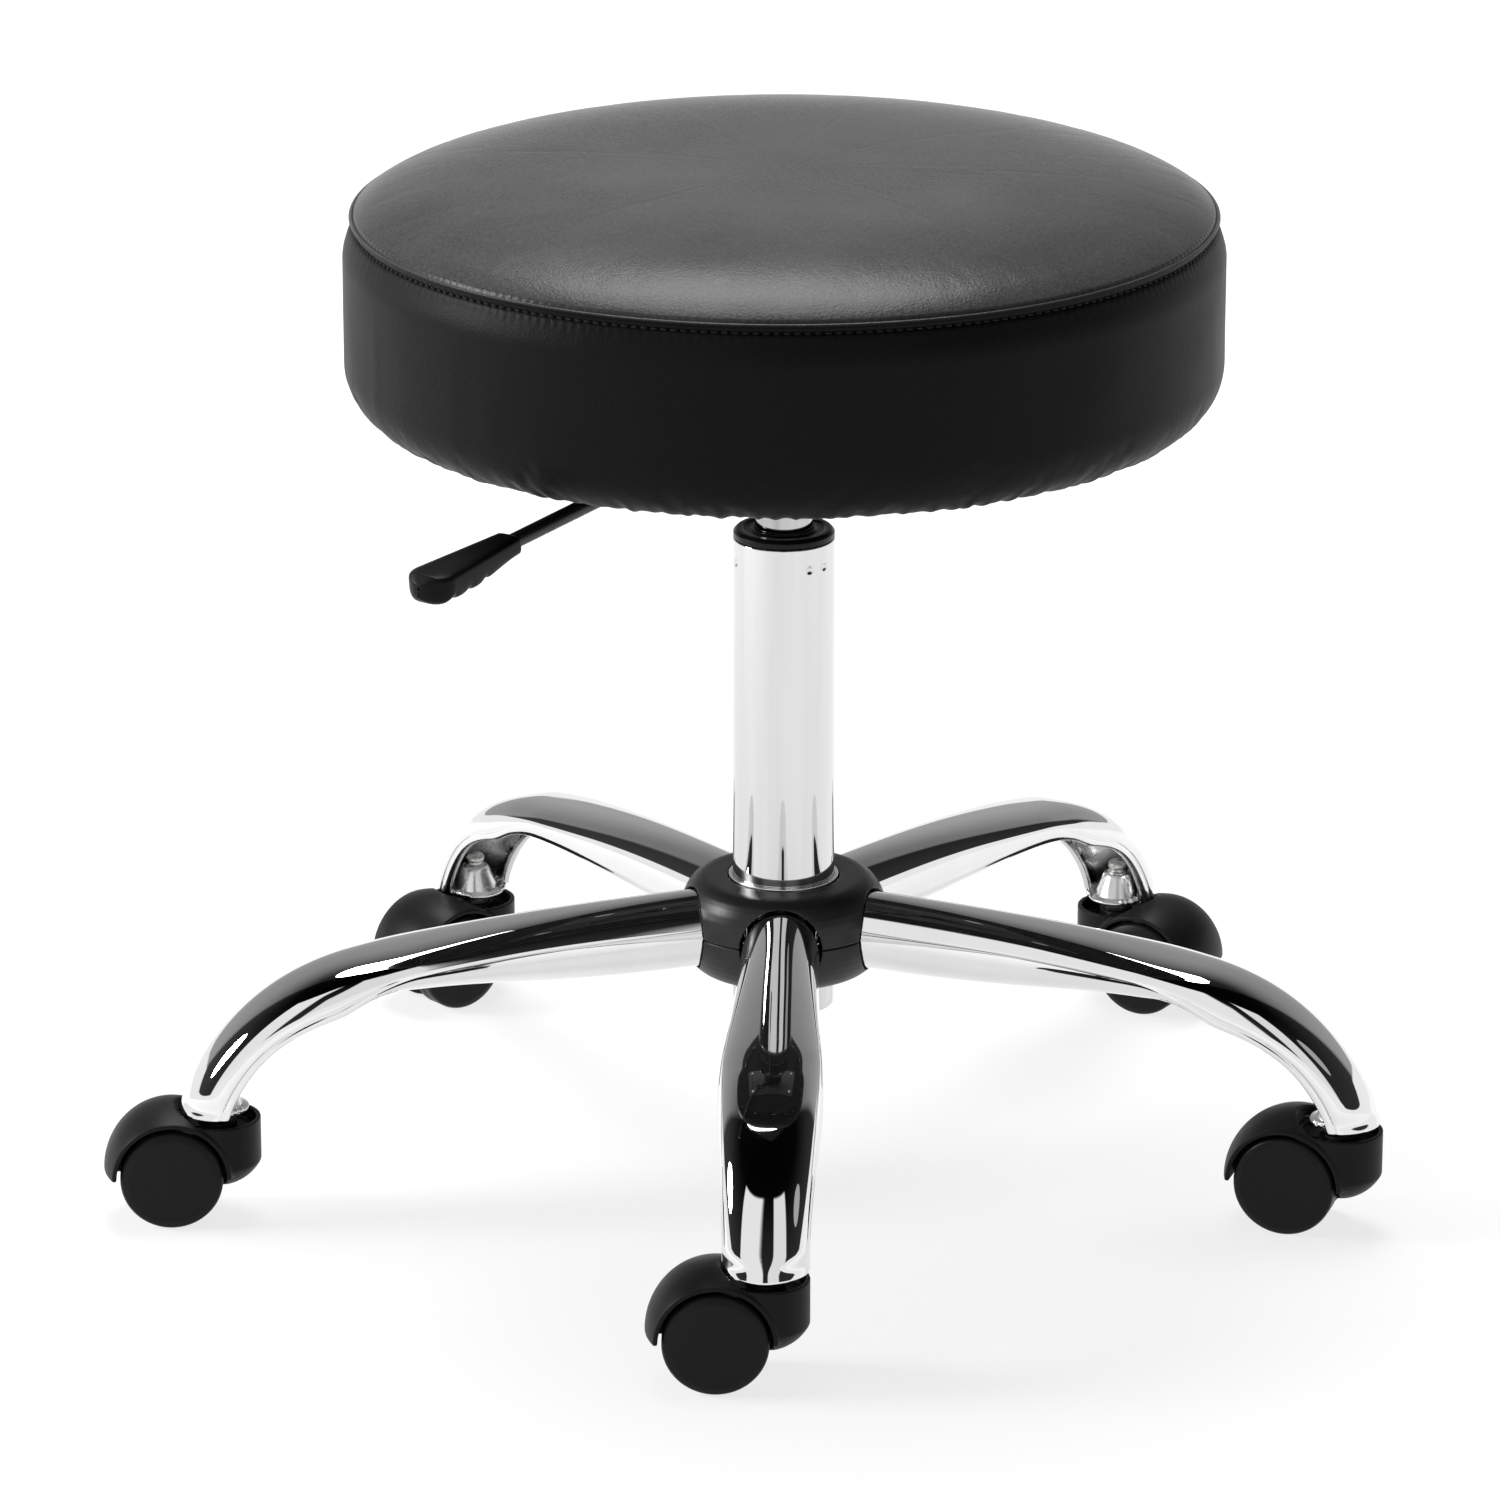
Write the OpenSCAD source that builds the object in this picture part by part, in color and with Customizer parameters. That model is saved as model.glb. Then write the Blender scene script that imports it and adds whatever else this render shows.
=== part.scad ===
// Height-adjustable swivel stool: a round padded seat on a gas lift, over a five-arm tube base on
// hooded twin-wheel casters. The seat is at its lowest height.
// Origin: on the column axis at floor level. +Z up, the front arm points towards -Y. Millimetres.

/* [Base arms] */
// Radius of the circle through the caster stems
stem_circle_r = 286.6; // [250:1:330]
// Turn of the whole base about the column
base_turn = -1.6; // [-36:0.1:36]
// Outer diameter of the arm tube at the hub
arm_tube_d = 38; // [32:1:38]
// Widest part of the flattened arm
arm_wide_w = 49.8; // [42:0.2:56]
// Width of the arm at its end, over the caster
arm_end_w = 40.8; // [36:0.2:46]
// Distance from the caster stem to the outer wall of the arm end
arm_end_reach = 19.4; // [17:0.1:24]
// Depth of the pressed channel that the tube turns into
arm_channel_d = 20.4; // [18:0.1:24]
// Radius of the bend that turns the arm down
arm_bend_r = 113; // [90:1:140]
// Slope of the arm where the bend starts
arm_slope = 8.5; // [5:0.5:14]
// Slope of the arm at its end
arm_end_slope = 70; // [55:1:80]
// Wall of the arm tube
arm_wall = 1.6; // [1.2:0.1:2]
// Thickness of the pressed channel at its crown
channel_crown_t = 3.2; // [2.4:0.1:4]
// Thickness of the folded rims of the channel
channel_rim_t = 5; // [3.6:0.1:6]

/* [Hub] */
// Outer diameter of the steel hub sleeve
hub_sleeve_d = 54; // [53:0.5:56]
// Rise of the hub sleeve above and below the arm tubes
hub_sleeve_rise = 5.6; // [4:0.2:9]
// Outer diameter of the hub cover at its middle
hub_cover_d = 102; // [92:1:116]
// Outer diameter of the hub cover's flat top and bottom
hub_cover_top_d = 76; // [68:1:84]
// Rise of the hub cover above and below the arm tubes
hub_cover_rise = 4.6; // [3.6:0.2:8]
// Wall of the hub cover
hub_cover_wall = 2.4; // [1.6:0.1:3]

/* [Column] */
// Outer diameter of the column tube
column_d = 50; // [46:1:50]
// Wall of the column tube
column_wall = 2; // [1.5:0.1:3]
// Height of the column tube's top above the floor
column_top_h = 321; // [300:1:360]
// Length of the column tube that stands out below the hub cover
column_tail = 19; // [14:1:28]
// Height of the guide bush's black collar
bush_collar_h = 4.5; // [3:0.5:8]
// Length of the guide bush inside the column
bush_l = 62; // [50:1:70]

/* [Gas lift] */
// Outer diameter of the gas cylinder
cylinder_d = 28; // [26:0.5:28]
// Wall of the gas cylinder
cylinder_wall = 1.6; // [1.2:0.1:2]
// Diameter of the piston rod
rod_d = 10; // [8:0.5:10]
// Length of cylinder that shows at the lowest height
cylinder_shows = 18.5; // [14:0.5:40]
// Height adjustment of the seat
lift_stroke = 150; // [120:1:150]
// Diameter of the release pin at the top of the cylinder
release_pin_d = 6; // [5:0.5:7]

/* [Seat] */
// Diameter of the seam round the top of the seat
seat_seam_d = 416; // [380:1:440]
// How far the side of the seat bulges beyond the seam
seat_bulge = 3.8; // [1:0.2:8]
// Height from the underside of the seat to the seam
seat_side_h = 96.5; // [80:0.5:110]
// Rise of the crown above the seam
seat_crown_h = 22; // [14:1:32]
// Height of the rounding at the lower edge of the seat
seat_round_h = 26; // [18:1:32]
// Diameter of the flat underside of the seat
seat_base_d = 374; // [340:1:380]
// Thickness of the seat board
board_t = 12; // [9:1:15]
// Thickness of the cover material
cover_t = 1.2; // [1:0.1:1.6]

/* [Seat plate and lever] */
// Side length of the square seat plate
plate_w = 168; // [150:1:190]
// Thickness of the seat plate
plate_t = 2.5; // [2:0.1:3]
// Spacing of the seat plate's four screws
plate_screw_pitch = 124; // [110:1:140]
// Diameter of the seat screws
seat_screw_d = 6; // [5:0.5:7]
// Length of the tapered socket on the cylinder
cone_l = 40; // [36:1:44]
// Direction of the lever, turned from +X
lever_turn = -127.3; // [-140:0.1:-120]
// Diameter of the lever rod
lever_rod_d = 6; // [5:0.2:6.4]
// Distance from the column axis to the lever's pivot
lever_pivot_r = 57; // [52:1:62]
// Distance from the column axis to the near end of the grip
lever_grip_r = 208; // [200:1:230]
// Length of the grip
grip_l = 68; // [56:1:80]
// Width of the grip at its far end
grip_w = 24; // [20:0.5:30]
// Thickness of the grip at its far end
grip_t = 15; // [12:0.5:18]
// Travel of the lever
lever_travel = 3.5; // [2:0.5:3.5]

/* [Casters] */
// Diameter of the caster wheels
wheel_d = 50; // [46:1:52]
// Width of one wheel
wheel_w = 14; // [12:0.5:15]
// Distance from the stem to the axle
caster_trail = 23; // [22:0.5:26]
// Thickness of the web between the wheels
caster_web_t = 14; // [13:0.5:16]
// Outer diameter of the caster's cup
cup_d = 41.4; // [38:0.2:43]
// Rise of the cup's rim above the wheels
cup_rise = 0.6; // [0:0.2:3]
// Radius of the hood at its crown
hood_crown_r = 33; // [31:0.5:35]
// Wall of the hood at its rims
hood_wall = 2; // [1.6:0.1:2.6]
// Diameter of the caster stem
stem_d = 11; // [10:0.5:11]
// Diameter of the caster axle
axle_d = 6; // [5:0.5:7]
// Direction in which the wheels of each caster trail, arms 1 to 5
caster_headings = [180, 162, 329, 220, 184];

/* [Hidden] */
$fn = 64;

// Running clearance of shafts, seat of resting pieces, and clearance of parts that pass each other
fit = 0.05;
seat_gap = 0.2;
pass_gap = 0.8;

// Heights of the base, worked up from the floor
axle_h = wheel_d / 2;
rim_h = wheel_d + cup_rise;
arm_end_h = rim_h + 3.5;
end_r = stem_circle_r + arm_end_reach;
bend_start_r = end_r - arm_bend_r * (sin(arm_end_slope) - sin(arm_slope));
bend_start_h = arm_end_h + arm_bend_r * (cos(arm_slope) - cos(arm_end_slope));
long_r = bend_start_r / sin(arm_slope);
arm_top_h = bend_start_h + long_r * (1 - cos(arm_slope));
hub_h = arm_top_h - arm_tube_d / 2 - 0.5;
arm_start_r = max(hub_sleeve_d / 2 + seat_gap, arm_tube_d / 2 / tan(35));

// Heights of the column and the gas lift
hub_half_h = arm_tube_d / 2 + hub_cover_rise;
sleeve_half_h = arm_tube_d / 2 + hub_sleeve_rise;
column_bottom_h = hub_h - hub_half_h - column_tail;
foot_t = 3;
foot_top_h = column_bottom_h + foot_t + 1;
race_t = 2;
ball_r = 2;
race_upper_h = foot_top_h + race_t + 2 * ball_r + 3 * fit;
rod_shoulder_h = race_upper_h + race_t + fit;
buffer_h = 10;
cylinder_bottom_h = rod_shoulder_h + buffer_h + seat_gap;
gland_h = 16;
bush_top_h = column_top_h + bush_collar_h;
cone_bottom_h = bush_top_h + cylinder_shows;
plate_bottom_h = cone_bottom_h + cone_l;
plate_top_h = plate_bottom_h + plate_t;
cylinder_roof_h = cone_bottom_h - 12;
cylinder_in_r = cylinder_d / 2 - cylinder_wall;
taper_top_r = cylinder_d / 2 - 1.1;
piston_h = cylinder_bottom_h + gland_h + lift_stroke + 14;
piston_l = 14;
bush_bore_r = cylinder_d / 2 + fit;
column_in_r = column_d / 2 - column_wall;
rod_pin_d = rod_d - 2;

// Heights and profile of the seat
dust_t = 0.6;
board_bottom_h = plate_top_h + dust_t + 2 * seat_gap;
board_r = seat_base_d / 2 - cover_t - seat_gap;
seam_h = board_bottom_h + seat_side_h;
side_r = seat_seam_d / 2 + seat_bulge;
wrap_r = seat_base_d / 2 - 24;
crown_flat = 0.25;

// Lever: it hangs under the plate in a sleeve, lies over the release pin and is cranked down beyond the
// bracket. The cylinder ends where the lever's tail stops when the grip is lifted.
sleeve_r = lever_rod_d / 2 + 1.2;
sleeve_l = 14;
lever_tail = 8;
lever_h = plate_bottom_h - sleeve_r - pass_gap;
cylinder_top_h = lever_h - lever_rod_d / 2 - (lever_pivot_r + lever_tail) * sin(lever_travel) - pass_gap;
crank_r = lever_pivot_r + 23;
crank_slope = 4.9;
lever_pin_d = 2.4;
bracket_ear_t = 3;
bracket_gap = sleeve_r + 0.6;
pin_top_h = lever_h - lever_rod_d / 2 - 0.4;
pin_foot = 16;

// Caster places
arm_count = 5;
well_r = wheel_d / 2 + 1.7;
hood_rim_r = well_r + hood_wall;
hood_half_w = caster_web_t / 2 + 0.6 + wheel_w;
cup_floor_h = rim_h - 7;
boss_top_h = rim_h - 1.4;
cup_round_r = cup_d / 2 + 2.5;
stem_bottom_h = axle_h - 5;
socket_h = 14.6;
socket_top_h = arm_end_h + socket_h;
axle_end = caster_web_t / 2 + 0.6 + wheel_w * 0.8;

function arm_angle(i) = -90 + base_turn + 72 * (i - 1);
function smooth(t) = let (s = min(max(t, 0), 1)) s * s * (3 - 2 * s);
function mix(a, b, t) = a + (b - a) * t;
function ellipse_points(cx, cy, rx, ry, from, to, n) =
    [for (k = [0 : n]) let (a = from + (to - from) * k / n) [cx + rx * cos(a), cy + ry * sin(a)]];
function lever_z(r) = lever_h - max(r - crank_r, 0) * tan(crank_slope);

module at_caster(i) {
    rotate([0, 0, arm_angle(i)]) translate([stem_circle_r, 0, 0])
        rotate([0, 0, caster_headings[i - 1] - arm_angle(i)]) children();
}

module at_arms() {
    for (i = [1 : arm_count]) rotate([0, 0, arm_angle(i)]) translate([stem_circle_r, 0, 0]) children();
}

module ring(r_out, r_in, h) {
    difference() {
        cylinder(r = r_out, h = h);
        translate([0, 0, -1]) cylinder(r = r_in, h = h + 2);
    }
}

// ---- Arms: a round tube pressed flat along its length into a channel that is open below ----

arc_steps_long = 8;
arc_steps_bend = 13;
station_count = arc_steps_long + arc_steps_bend + 1;
hollow_rings = 8;
start_slope = asin(arm_start_r / long_r);
bend_l = arm_bend_r * (arm_end_slope - arm_slope) * PI / 180;
long_l = long_r * (arm_slope - start_slope) * PI / 180;
wide_at = long_l + 14;

function station_slope(k) = k <= arc_steps_long
    ? mix(start_slope, arm_slope, k / arc_steps_long)
    : mix(arm_slope, arm_end_slope, (k - arc_steps_long) / arc_steps_bend);
function station_l(k) = k <= arc_steps_long
    ? long_l * k / arc_steps_long
    : long_l + bend_l * (k - arc_steps_long) / arc_steps_bend;
function crown_point(a) = a <= arm_slope
    ? [long_r * sin(a), arm_top_h - long_r * (1 - cos(a))]
    : [bend_start_r + arm_bend_r * (sin(a) - sin(arm_slope)),
       bend_start_h - arm_bend_r * (cos(arm_slope) - cos(a))];
function arm_w(l) = l < wide_at
    ? mix(arm_tube_d, arm_wide_w, smooth(pow(l / wide_at, 1.4)))
    : mix(arm_end_w, arm_wide_w, smooth((long_l + bend_l - l) / (long_l + bend_l - wide_at)));
function arm_depth(l) = mix(arm_tube_d, arm_channel_d, smooth(pow(l / long_l, 1.5)));
function arm_open(l) = smooth((l - long_l * 0.86) / 52);
function plane_tilt(k) = let (a = station_slope(k))
    mix(a, 90, smooth((a - arm_slope) / (arm_end_slope - arm_slope)));

// One cross-section: [sideways, down from the crown]. The first 13 points run over the crown and the
// other 11 along the underside, which rises inside the crown as the tube turns into a channel.
function tube_point(j, w, d, wall) =
    [(w / 2 - wall) * cos(j * 15), -d / 2 + (d / 2 - wall) * sin(j * 15)];
function channel_point(j, w, d) = j <= 12
    ? [w / 2 * cos(j * 15), -d + d * sin(j * 15)]
    : let (a = 180 - (j - 13) * 18)
      [(w / 2 - channel_rim_t) * cos(a), -d + (d - channel_crown_t) * sin(a)];
function section_point(j, w, d, open) =
    mix(tube_point(j, w, d, 0), channel_point(j, w, d), open);
function place_point(k, p) = let (c = crown_point(station_slope(k)), t = plane_tilt(k))
    [c[0] + p[1] * sin(t), p[0], c[1] + p[1] * cos(t)];
function outer_ring(k) = let (l = station_l(k))
    [for (j = [0 : 23]) place_point(k, section_point(j, arm_w(l), arm_depth(l), arm_open(l)))];
function inner_ring(k) = let (l = station_l(k))
    [for (j = [0 : 23]) place_point(k, tube_point(j, arm_w(l), arm_depth(l), arm_wall))];

module arm_shape() {
    points = [
        for (k = [0 : station_count - 1]) each outer_ring(k),
        for (k = [0 : hollow_rings - 1]) each inner_ring(k),
    ];
    hollow = station_count * 24;
    last = (station_count - 1) * 24;
    deep = hollow + (hollow_rings - 1) * 24;
    faces = [
        for (k = [0 : station_count - 2]) for (j = [0 : 23]) let (a = k * 24, b = a + 24, n = (j + 1) % 24)
            each [[a + j, b + n, b + j], [a + j, a + n, b + n]],
        for (k = [0 : hollow_rings - 2]) for (j = [0 : 23])
            let (a = hollow + k * 24, b = a + 24, n = (j + 1) % 24)
            each [[a + j, b + j, b + n], [a + j, b + n, a + n]],
        for (j = [0 : 23]) let (n = (j + 1) % 24) each [[j, hollow + j, hollow + n], [j, hollow + n, n]],
        for (j = [1 : 22]) [deep, deep + j + 1, deep + j],
        for (j = [1 : 10]) let (m = 24 - j)
            each [[last + j, last + j + 1, last + m], [last + j + 1, last + m - 1, last + m]],
        [last, last + 1, last + 23],
        [last + 11, last + 12, last + 13],
    ];
    polyhedron(points, faces, convexity = 6);
}

module arm(i) {
    color("gainsboro") rotate([0, 0, arm_angle(i)]) arm_shape();
}

module stem_sockets() {
    flange_r = arm_end_w / 2 - channel_rim_t - 0.3;
    color("silver") at_arms() translate([0, 0, arm_end_h]) rotate_extrude() polygon([
        [stem_d / 2 + fit, fit], [flange_r - 1, fit], [flange_r, 1], [flange_r, 2], [flange_r - 3.4, 3],
        [stem_d / 2 + 2.2, socket_h - 1.2], [stem_d / 2 + 1.2, socket_h], [stem_d / 2 + fit, socket_h],
    ]);
}

module caster_stems() {
    collar_r = stem_d / 2 + 3;
    color("dimgray") at_arms() {
        translate([0, 0, stem_bottom_h]) cylinder(d = stem_d, h = socket_top_h + 0.6 - stem_bottom_h);
        translate([0, 0, boss_top_h + seat_gap]) cylinder(r = collar_r, h = arm_end_h - boss_top_h - seat_gap);
        translate([0, 0, socket_top_h + 0.5]) cylinder(r1 = 4.2, r2 = 4.8, h = 2.2);
        translate([0, 0, socket_top_h + 2.5]) cylinder(r = 5, h = 2.6);
        translate([0, 0, socket_top_h + 5]) cylinder(r1 = 5, r2 = 4, h = 1.2);
    }
}

// ---- Hub ----

module hub_sleeve() {
    color("silver") translate([0, 0, hub_h - sleeve_half_h])
        ring(hub_sleeve_d / 2, column_d / 2 + fit, 2 * sleeve_half_h);
}

module hub_cover_profile() {
    mid = hub_cover_d / 2;
    top = hub_cover_top_d / 2;
    bore = hub_sleeve_d / 2 + 0.4;
    wall = hub_cover_wall;
    belt = 3.5;
    polygon(concat(
        [[bore, hub_half_h - 0.8], [bore + 0.8, hub_half_h]],
        ellipse_points(top, belt, mid - top, hub_half_h - belt, 90, 0, 8),
        [[mid, seat_gap / 2], [mid - wall, seat_gap / 2]],
        ellipse_points(top, belt, mid - top - wall, hub_half_h - belt - wall, 0, 90, 8),
        [[bore, hub_half_h - wall]]
    ));
}

module hub_cover() {
    difference() {
        rotate_extrude($fn = 96) hub_cover_profile();
        for (i = [1 : arm_count]) rotate([0, 0, arm_angle(i)]) translate([hub_cover_top_d / 2 - 2, 0, -0.3])
            rotate([0, 90, 0]) cylinder(d = arm_tube_d + 2.4, h = hub_cover_d);
    }
}

module hub_cover_upper() {
    color([0.1, 0.1, 0.1]) translate([0, 0, hub_h]) hub_cover();
}

module hub_cover_lower() {
    color([0.12, 0.12, 0.12]) translate([0, 0, hub_h]) mirror([0, 0, 1]) hub_cover();
}

// ---- Column ----

module column_tube() {
    dent_r = 3;
    color("gainsboro") difference() {
        translate([0, 0, column_bottom_h])
            ring(column_d / 2, column_in_r, column_top_h - column_bottom_h);
        for (third = [0, 120, 240]) for (a = [-60, -39])
            rotate([0, 0, third + a]) translate([column_d / 2 + dent_r - 0.9, 0, column_top_h - 11])
                sphere(r = dent_r);
    }
}

module column_bush() {
    collar_r = column_d / 2 - 0.3;
    color([0.08, 0.08, 0.08]) translate([0, 0, column_top_h]) rotate_extrude() polygon([
        [bush_bore_r, bush_collar_h - 1], [bush_bore_r + 1, bush_collar_h], [collar_r - 1.6, bush_collar_h],
        [collar_r, bush_collar_h - 1.6], [collar_r, seat_gap], [column_in_r - fit, seat_gap],
        [column_in_r - fit, -bush_l], [bush_bore_r, -bush_l],
    ]);
}

module column_foot() {
    color("dimgray") translate([0, 0, foot_top_h - foot_t])
        ring(column_in_r - fit, rod_pin_d / 2 + fit, foot_t);
}

module race(z) {
    translate([0, 0, z]) ring(rod_d / 2 + 7, rod_pin_d / 2 + fit, race_t);
}

module bearing_race_lower() {
    color("silver") race(foot_top_h + fit);
}

module bearing_race_upper() {
    color("silver") race(race_upper_h);
}

module bearing_balls() {
    ball_circle_r = rod_d / 2 + 3.6;
    color("lightgray") for (a = [0 : 36 : 324]) rotate([0, 0, a])
        translate([ball_circle_r, 0, foot_top_h + race_t + ball_r + 2 * fit]) sphere(r = ball_r, $fn = 32);
}

module piston_rod() {
    color("lightgray") {
        translate([0, 0, rod_shoulder_h]) cylinder(d = rod_d, h = piston_h - rod_shoulder_h);
        translate([0, 0, column_bottom_h - 7]) cylinder(d = rod_pin_d, h = rod_shoulder_h - column_bottom_h + 8);
    }
}

module piston() {
    color("dimgray") translate([0, 0, piston_h]) ring(cylinder_in_r - 0.08, 1.2, piston_l);
}

module rod_buffer() {
    color([0.1, 0.1, 0.1]) translate([0, 0, rod_shoulder_h]) ring(rod_d / 2 + 4.5, rod_d / 2 + fit, buffer_h);
}

module rod_clip() {
    clip_t = 1.6;
    mouth = 3.2;
    color("silver") translate([0, 0, foot_top_h - foot_t - seat_gap - clip_t]) difference() {
        ring(rod_pin_d / 2 + 5, rod_pin_d / 2 + fit, clip_t);
        translate([0, -mouth / 2, -1]) cube([rod_pin_d + 8, mouth, clip_t + 2]);
    }
}

module gas_cylinder() {
    color("gainsboro") rotate_extrude() difference() {
        polygon([
            [0, cylinder_bottom_h], [cylinder_d / 2 - 1.5, cylinder_bottom_h],
            [cylinder_d / 2, cylinder_bottom_h + 1.5], [cylinder_d / 2, cone_bottom_h],
            [taper_top_r, cylinder_top_h - 1], [taper_top_r - 1, cylinder_top_h], [0, cylinder_top_h],
        ]);
        translate([0, cylinder_bottom_h + gland_h])
            square([cylinder_in_r, cylinder_roof_h - cylinder_bottom_h - gland_h]);
        translate([0, cylinder_bottom_h - 1]) square([rod_d / 2 + fit, gland_h + 2]);
        translate([0, cylinder_top_h - pin_foot - 5]) square([release_pin_d / 2 + fit, pin_foot + 6]);
    }
}

module release_pin() {
    color("silver") translate([0, 0, cylinder_top_h - pin_foot])
        cylinder(d = release_pin_d, h = pin_top_h - cylinder_top_h + pin_foot);
}

// ---- Seat plate and lever ----

module screw_places() {
    for (x = [-1, 1]) for (y = [-1, 1])
        translate([x * plate_screw_pitch / 2, y * plate_screw_pitch / 2, 0]) children();
}

module seat_plate() {
    corner_r = 14;
    flat = plate_w - 2 * corner_r;
    color([0.15, 0.15, 0.15]) translate([0, 0, plate_bottom_h]) linear_extrude(plate_t) difference() {
        union() {
            square([plate_w, flat], center = true);
            square([flat, plate_w], center = true);
            for (x = [-1, 1]) for (y = [-1, 1]) translate([x * flat / 2, y * flat / 2]) circle(r = corner_r);
        }
        for (x = [-1, 1]) for (y = [-1, 1])
            translate([x * plate_screw_pitch / 2, y * plate_screw_pitch / 2]) circle(d = seat_screw_d + 0.8);
    }
}

module taper_socket() {
    wall = 4;
    notch_w = lever_rod_d + 3;
    notch_bottom = cylinder_top_h - pass_gap;
    color([0.15, 0.15, 0.15]) difference() {
        rotate_extrude() polygon([
            [cylinder_d / 2 + fit, cone_bottom_h], [cylinder_d / 2 + wall, cone_bottom_h],
            [cylinder_d / 2 + wall + 3, plate_bottom_h], [taper_top_r + fit, plate_bottom_h],
            [taper_top_r + fit, cylinder_top_h - 1],
        ]);
        rotate([0, 0, lever_turn]) translate([0, -notch_w / 2, notch_bottom])
            cube([cylinder_d, notch_w, plate_bottom_h - notch_bottom + 1]);
    }
}

module lever_bracket() {
    ear_l = 18;
    ear_h = plate_bottom_h - lever_h + lever_pin_d / 2 + 5;
    color([0.15, 0.15, 0.15]) rotate([0, 0, lever_turn]) for (s = [-1, 1]) difference() {
        translate([lever_pivot_r - ear_l / 2, s * (bracket_gap + bracket_ear_t / 2) - bracket_ear_t / 2,
                   plate_bottom_h - ear_h])
            cube([ear_l, bracket_ear_t, ear_h]);
        translate([lever_pivot_r, 0, lever_h]) rotate([90, 0, 0])
            cylinder(d = lever_pin_d + 2 * fit, h = 60, center = true);
    }
}

module lever_pin() {
    half = bracket_gap + bracket_ear_t + 1;
    color("silver") rotate([0, 0, lever_turn]) translate([lever_pivot_r, 0, lever_h]) rotate([90, 0, 0])
        cylinder(d = lever_pin_d, h = 2 * half, center = true);
}

// The rod is bent once, beyond its pivot. Both lengths end in the mitre plane of the bend, and the bent
// one is a little thinner, as drawn wire is.
module lever_rod() {
    bent_d = lever_rod_d - 0.1;
    bent_l = (lever_grip_r + grip_l * 0.55 - crank_r) / cos(crank_slope);
    big = 4 * lever_rod_d;
    color([0.1, 0.1, 0.1]) rotate([0, 0, lever_turn]) {
        difference() {
            translate([-lever_tail, 0, lever_h]) rotate([0, 90, 0])
                cylinder(d = lever_rod_d, h = crank_r + lever_tail + 4);
            translate([crank_r, 0, lever_h]) rotate([0, 90 + crank_slope / 2, 0])
                translate([-big, -big, 0]) cube(2 * big);
            translate([lever_pivot_r, 0, lever_h]) rotate([90, 0, 0])
                cylinder(d = lever_pin_d + 2 * fit, h = 40, center = true);
        }
        difference() {
            translate([crank_r, 0, lever_h]) rotate([0, 90 + crank_slope, 0]) translate([0, 0, -1])
                cylinder(d = bent_d, h = bent_l + 1);
            translate([crank_r, 0, lever_h]) rotate([0, 90 + crank_slope / 2, 0])
                translate([-big, -big, -2 * big]) cube(2 * big);
        }
    }
}

module lever_sleeve() {
    color([0.12, 0.12, 0.12]) rotate([0, 0, lever_turn]) translate([lever_pivot_r, 0, lever_h]) difference() {
        rotate([0, 90, 0]) cylinder(r = sleeve_r, h = sleeve_l, center = true);
        rotate([0, 90, 0]) cylinder(r = lever_rod_d / 2 + fit, h = sleeve_l + 2, center = true);
        rotate([90, 0, 0]) cylinder(d = lever_pin_d + 2 * fit, h = 40, center = true);
    }
}

// The grip is a paddle: flat above, widening to a rounded far end, with finger ridges below.
module lever_grip() {
    root_w = grip_w * 0.56;
    root_t = grip_t * 0.66;
    end_r = grip_w / 2;
    ridge_pitch = grip_l * 0.2;
    color([0.1, 0.1, 0.1]) rotate([0, 0, lever_turn])
        translate([lever_grip_r, 0, lever_z(lever_grip_r)]) rotate([0, crank_slope, 0]) difference() {
            intersection() {
                translate([0, 0, -grip_t]) linear_extrude(2 * grip_t) union() {
                    polygon([[0, -root_w / 2], [grip_l - end_r, -end_r], [grip_l - end_r, end_r],
                             [0, root_w / 2]]);
                    translate([grip_l - end_r, 0]) circle(r = end_r);
                }
                rotate([90, 0, 0]) translate([0, 0, -grip_w]) linear_extrude(2 * grip_w) difference() {
                    polygon([[0, -root_t / 2], [grip_l * 0.3, -root_t * 0.62], [grip_l * 0.55, -grip_t * 0.62],
                             [grip_l - 5, -grip_t * 0.62], [grip_l, -grip_t * 0.25], [grip_l, grip_t * 0.2],
                             [grip_l - 3, grip_t * 0.38], [4, root_t / 2], [0, root_t / 2 - 1.5]]);
                    for (k = [0 : 2])
                        translate([grip_l * 0.42 + k * ridge_pitch, -grip_t * 0.62 - 2.6]) circle(r = 4.6);
                }
            }
            translate([-1, 0, 0]) rotate([0, 90, 0])
                cylinder(r = lever_rod_d / 2 + fit, h = grip_l * 0.55 + 1 + seat_gap);
        }
}

module plate_screws() {
    head_r = seat_screw_d;
    color("silver") screw_places() {
        translate([0, 0, plate_bottom_h - fit - 2]) cylinder(r = head_r, h = 2);
        translate([0, 0, plate_bottom_h - fit - 3.4]) cylinder(r1 = head_r - 2, r2 = head_r, h = 1.4);
        translate([0, 0, plate_bottom_h - 1]) cylinder(d = seat_screw_d, h = board_bottom_h + board_t - plate_bottom_h);
    }
}

module tee_nuts() {
    flange_r = seat_screw_d / 2 + 6;
    barrel_r = seat_screw_d / 2 + 1;
    color("silver") screw_places() {
        translate([0, 0, board_bottom_h + 2]) ring(barrel_r, seat_screw_d / 2 + fit, board_t - 2);
        translate([0, 0, board_bottom_h + board_t]) ring(flange_r, seat_screw_d / 2 + fit, 1.2);
    }
}

// ---- Seat ----

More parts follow.
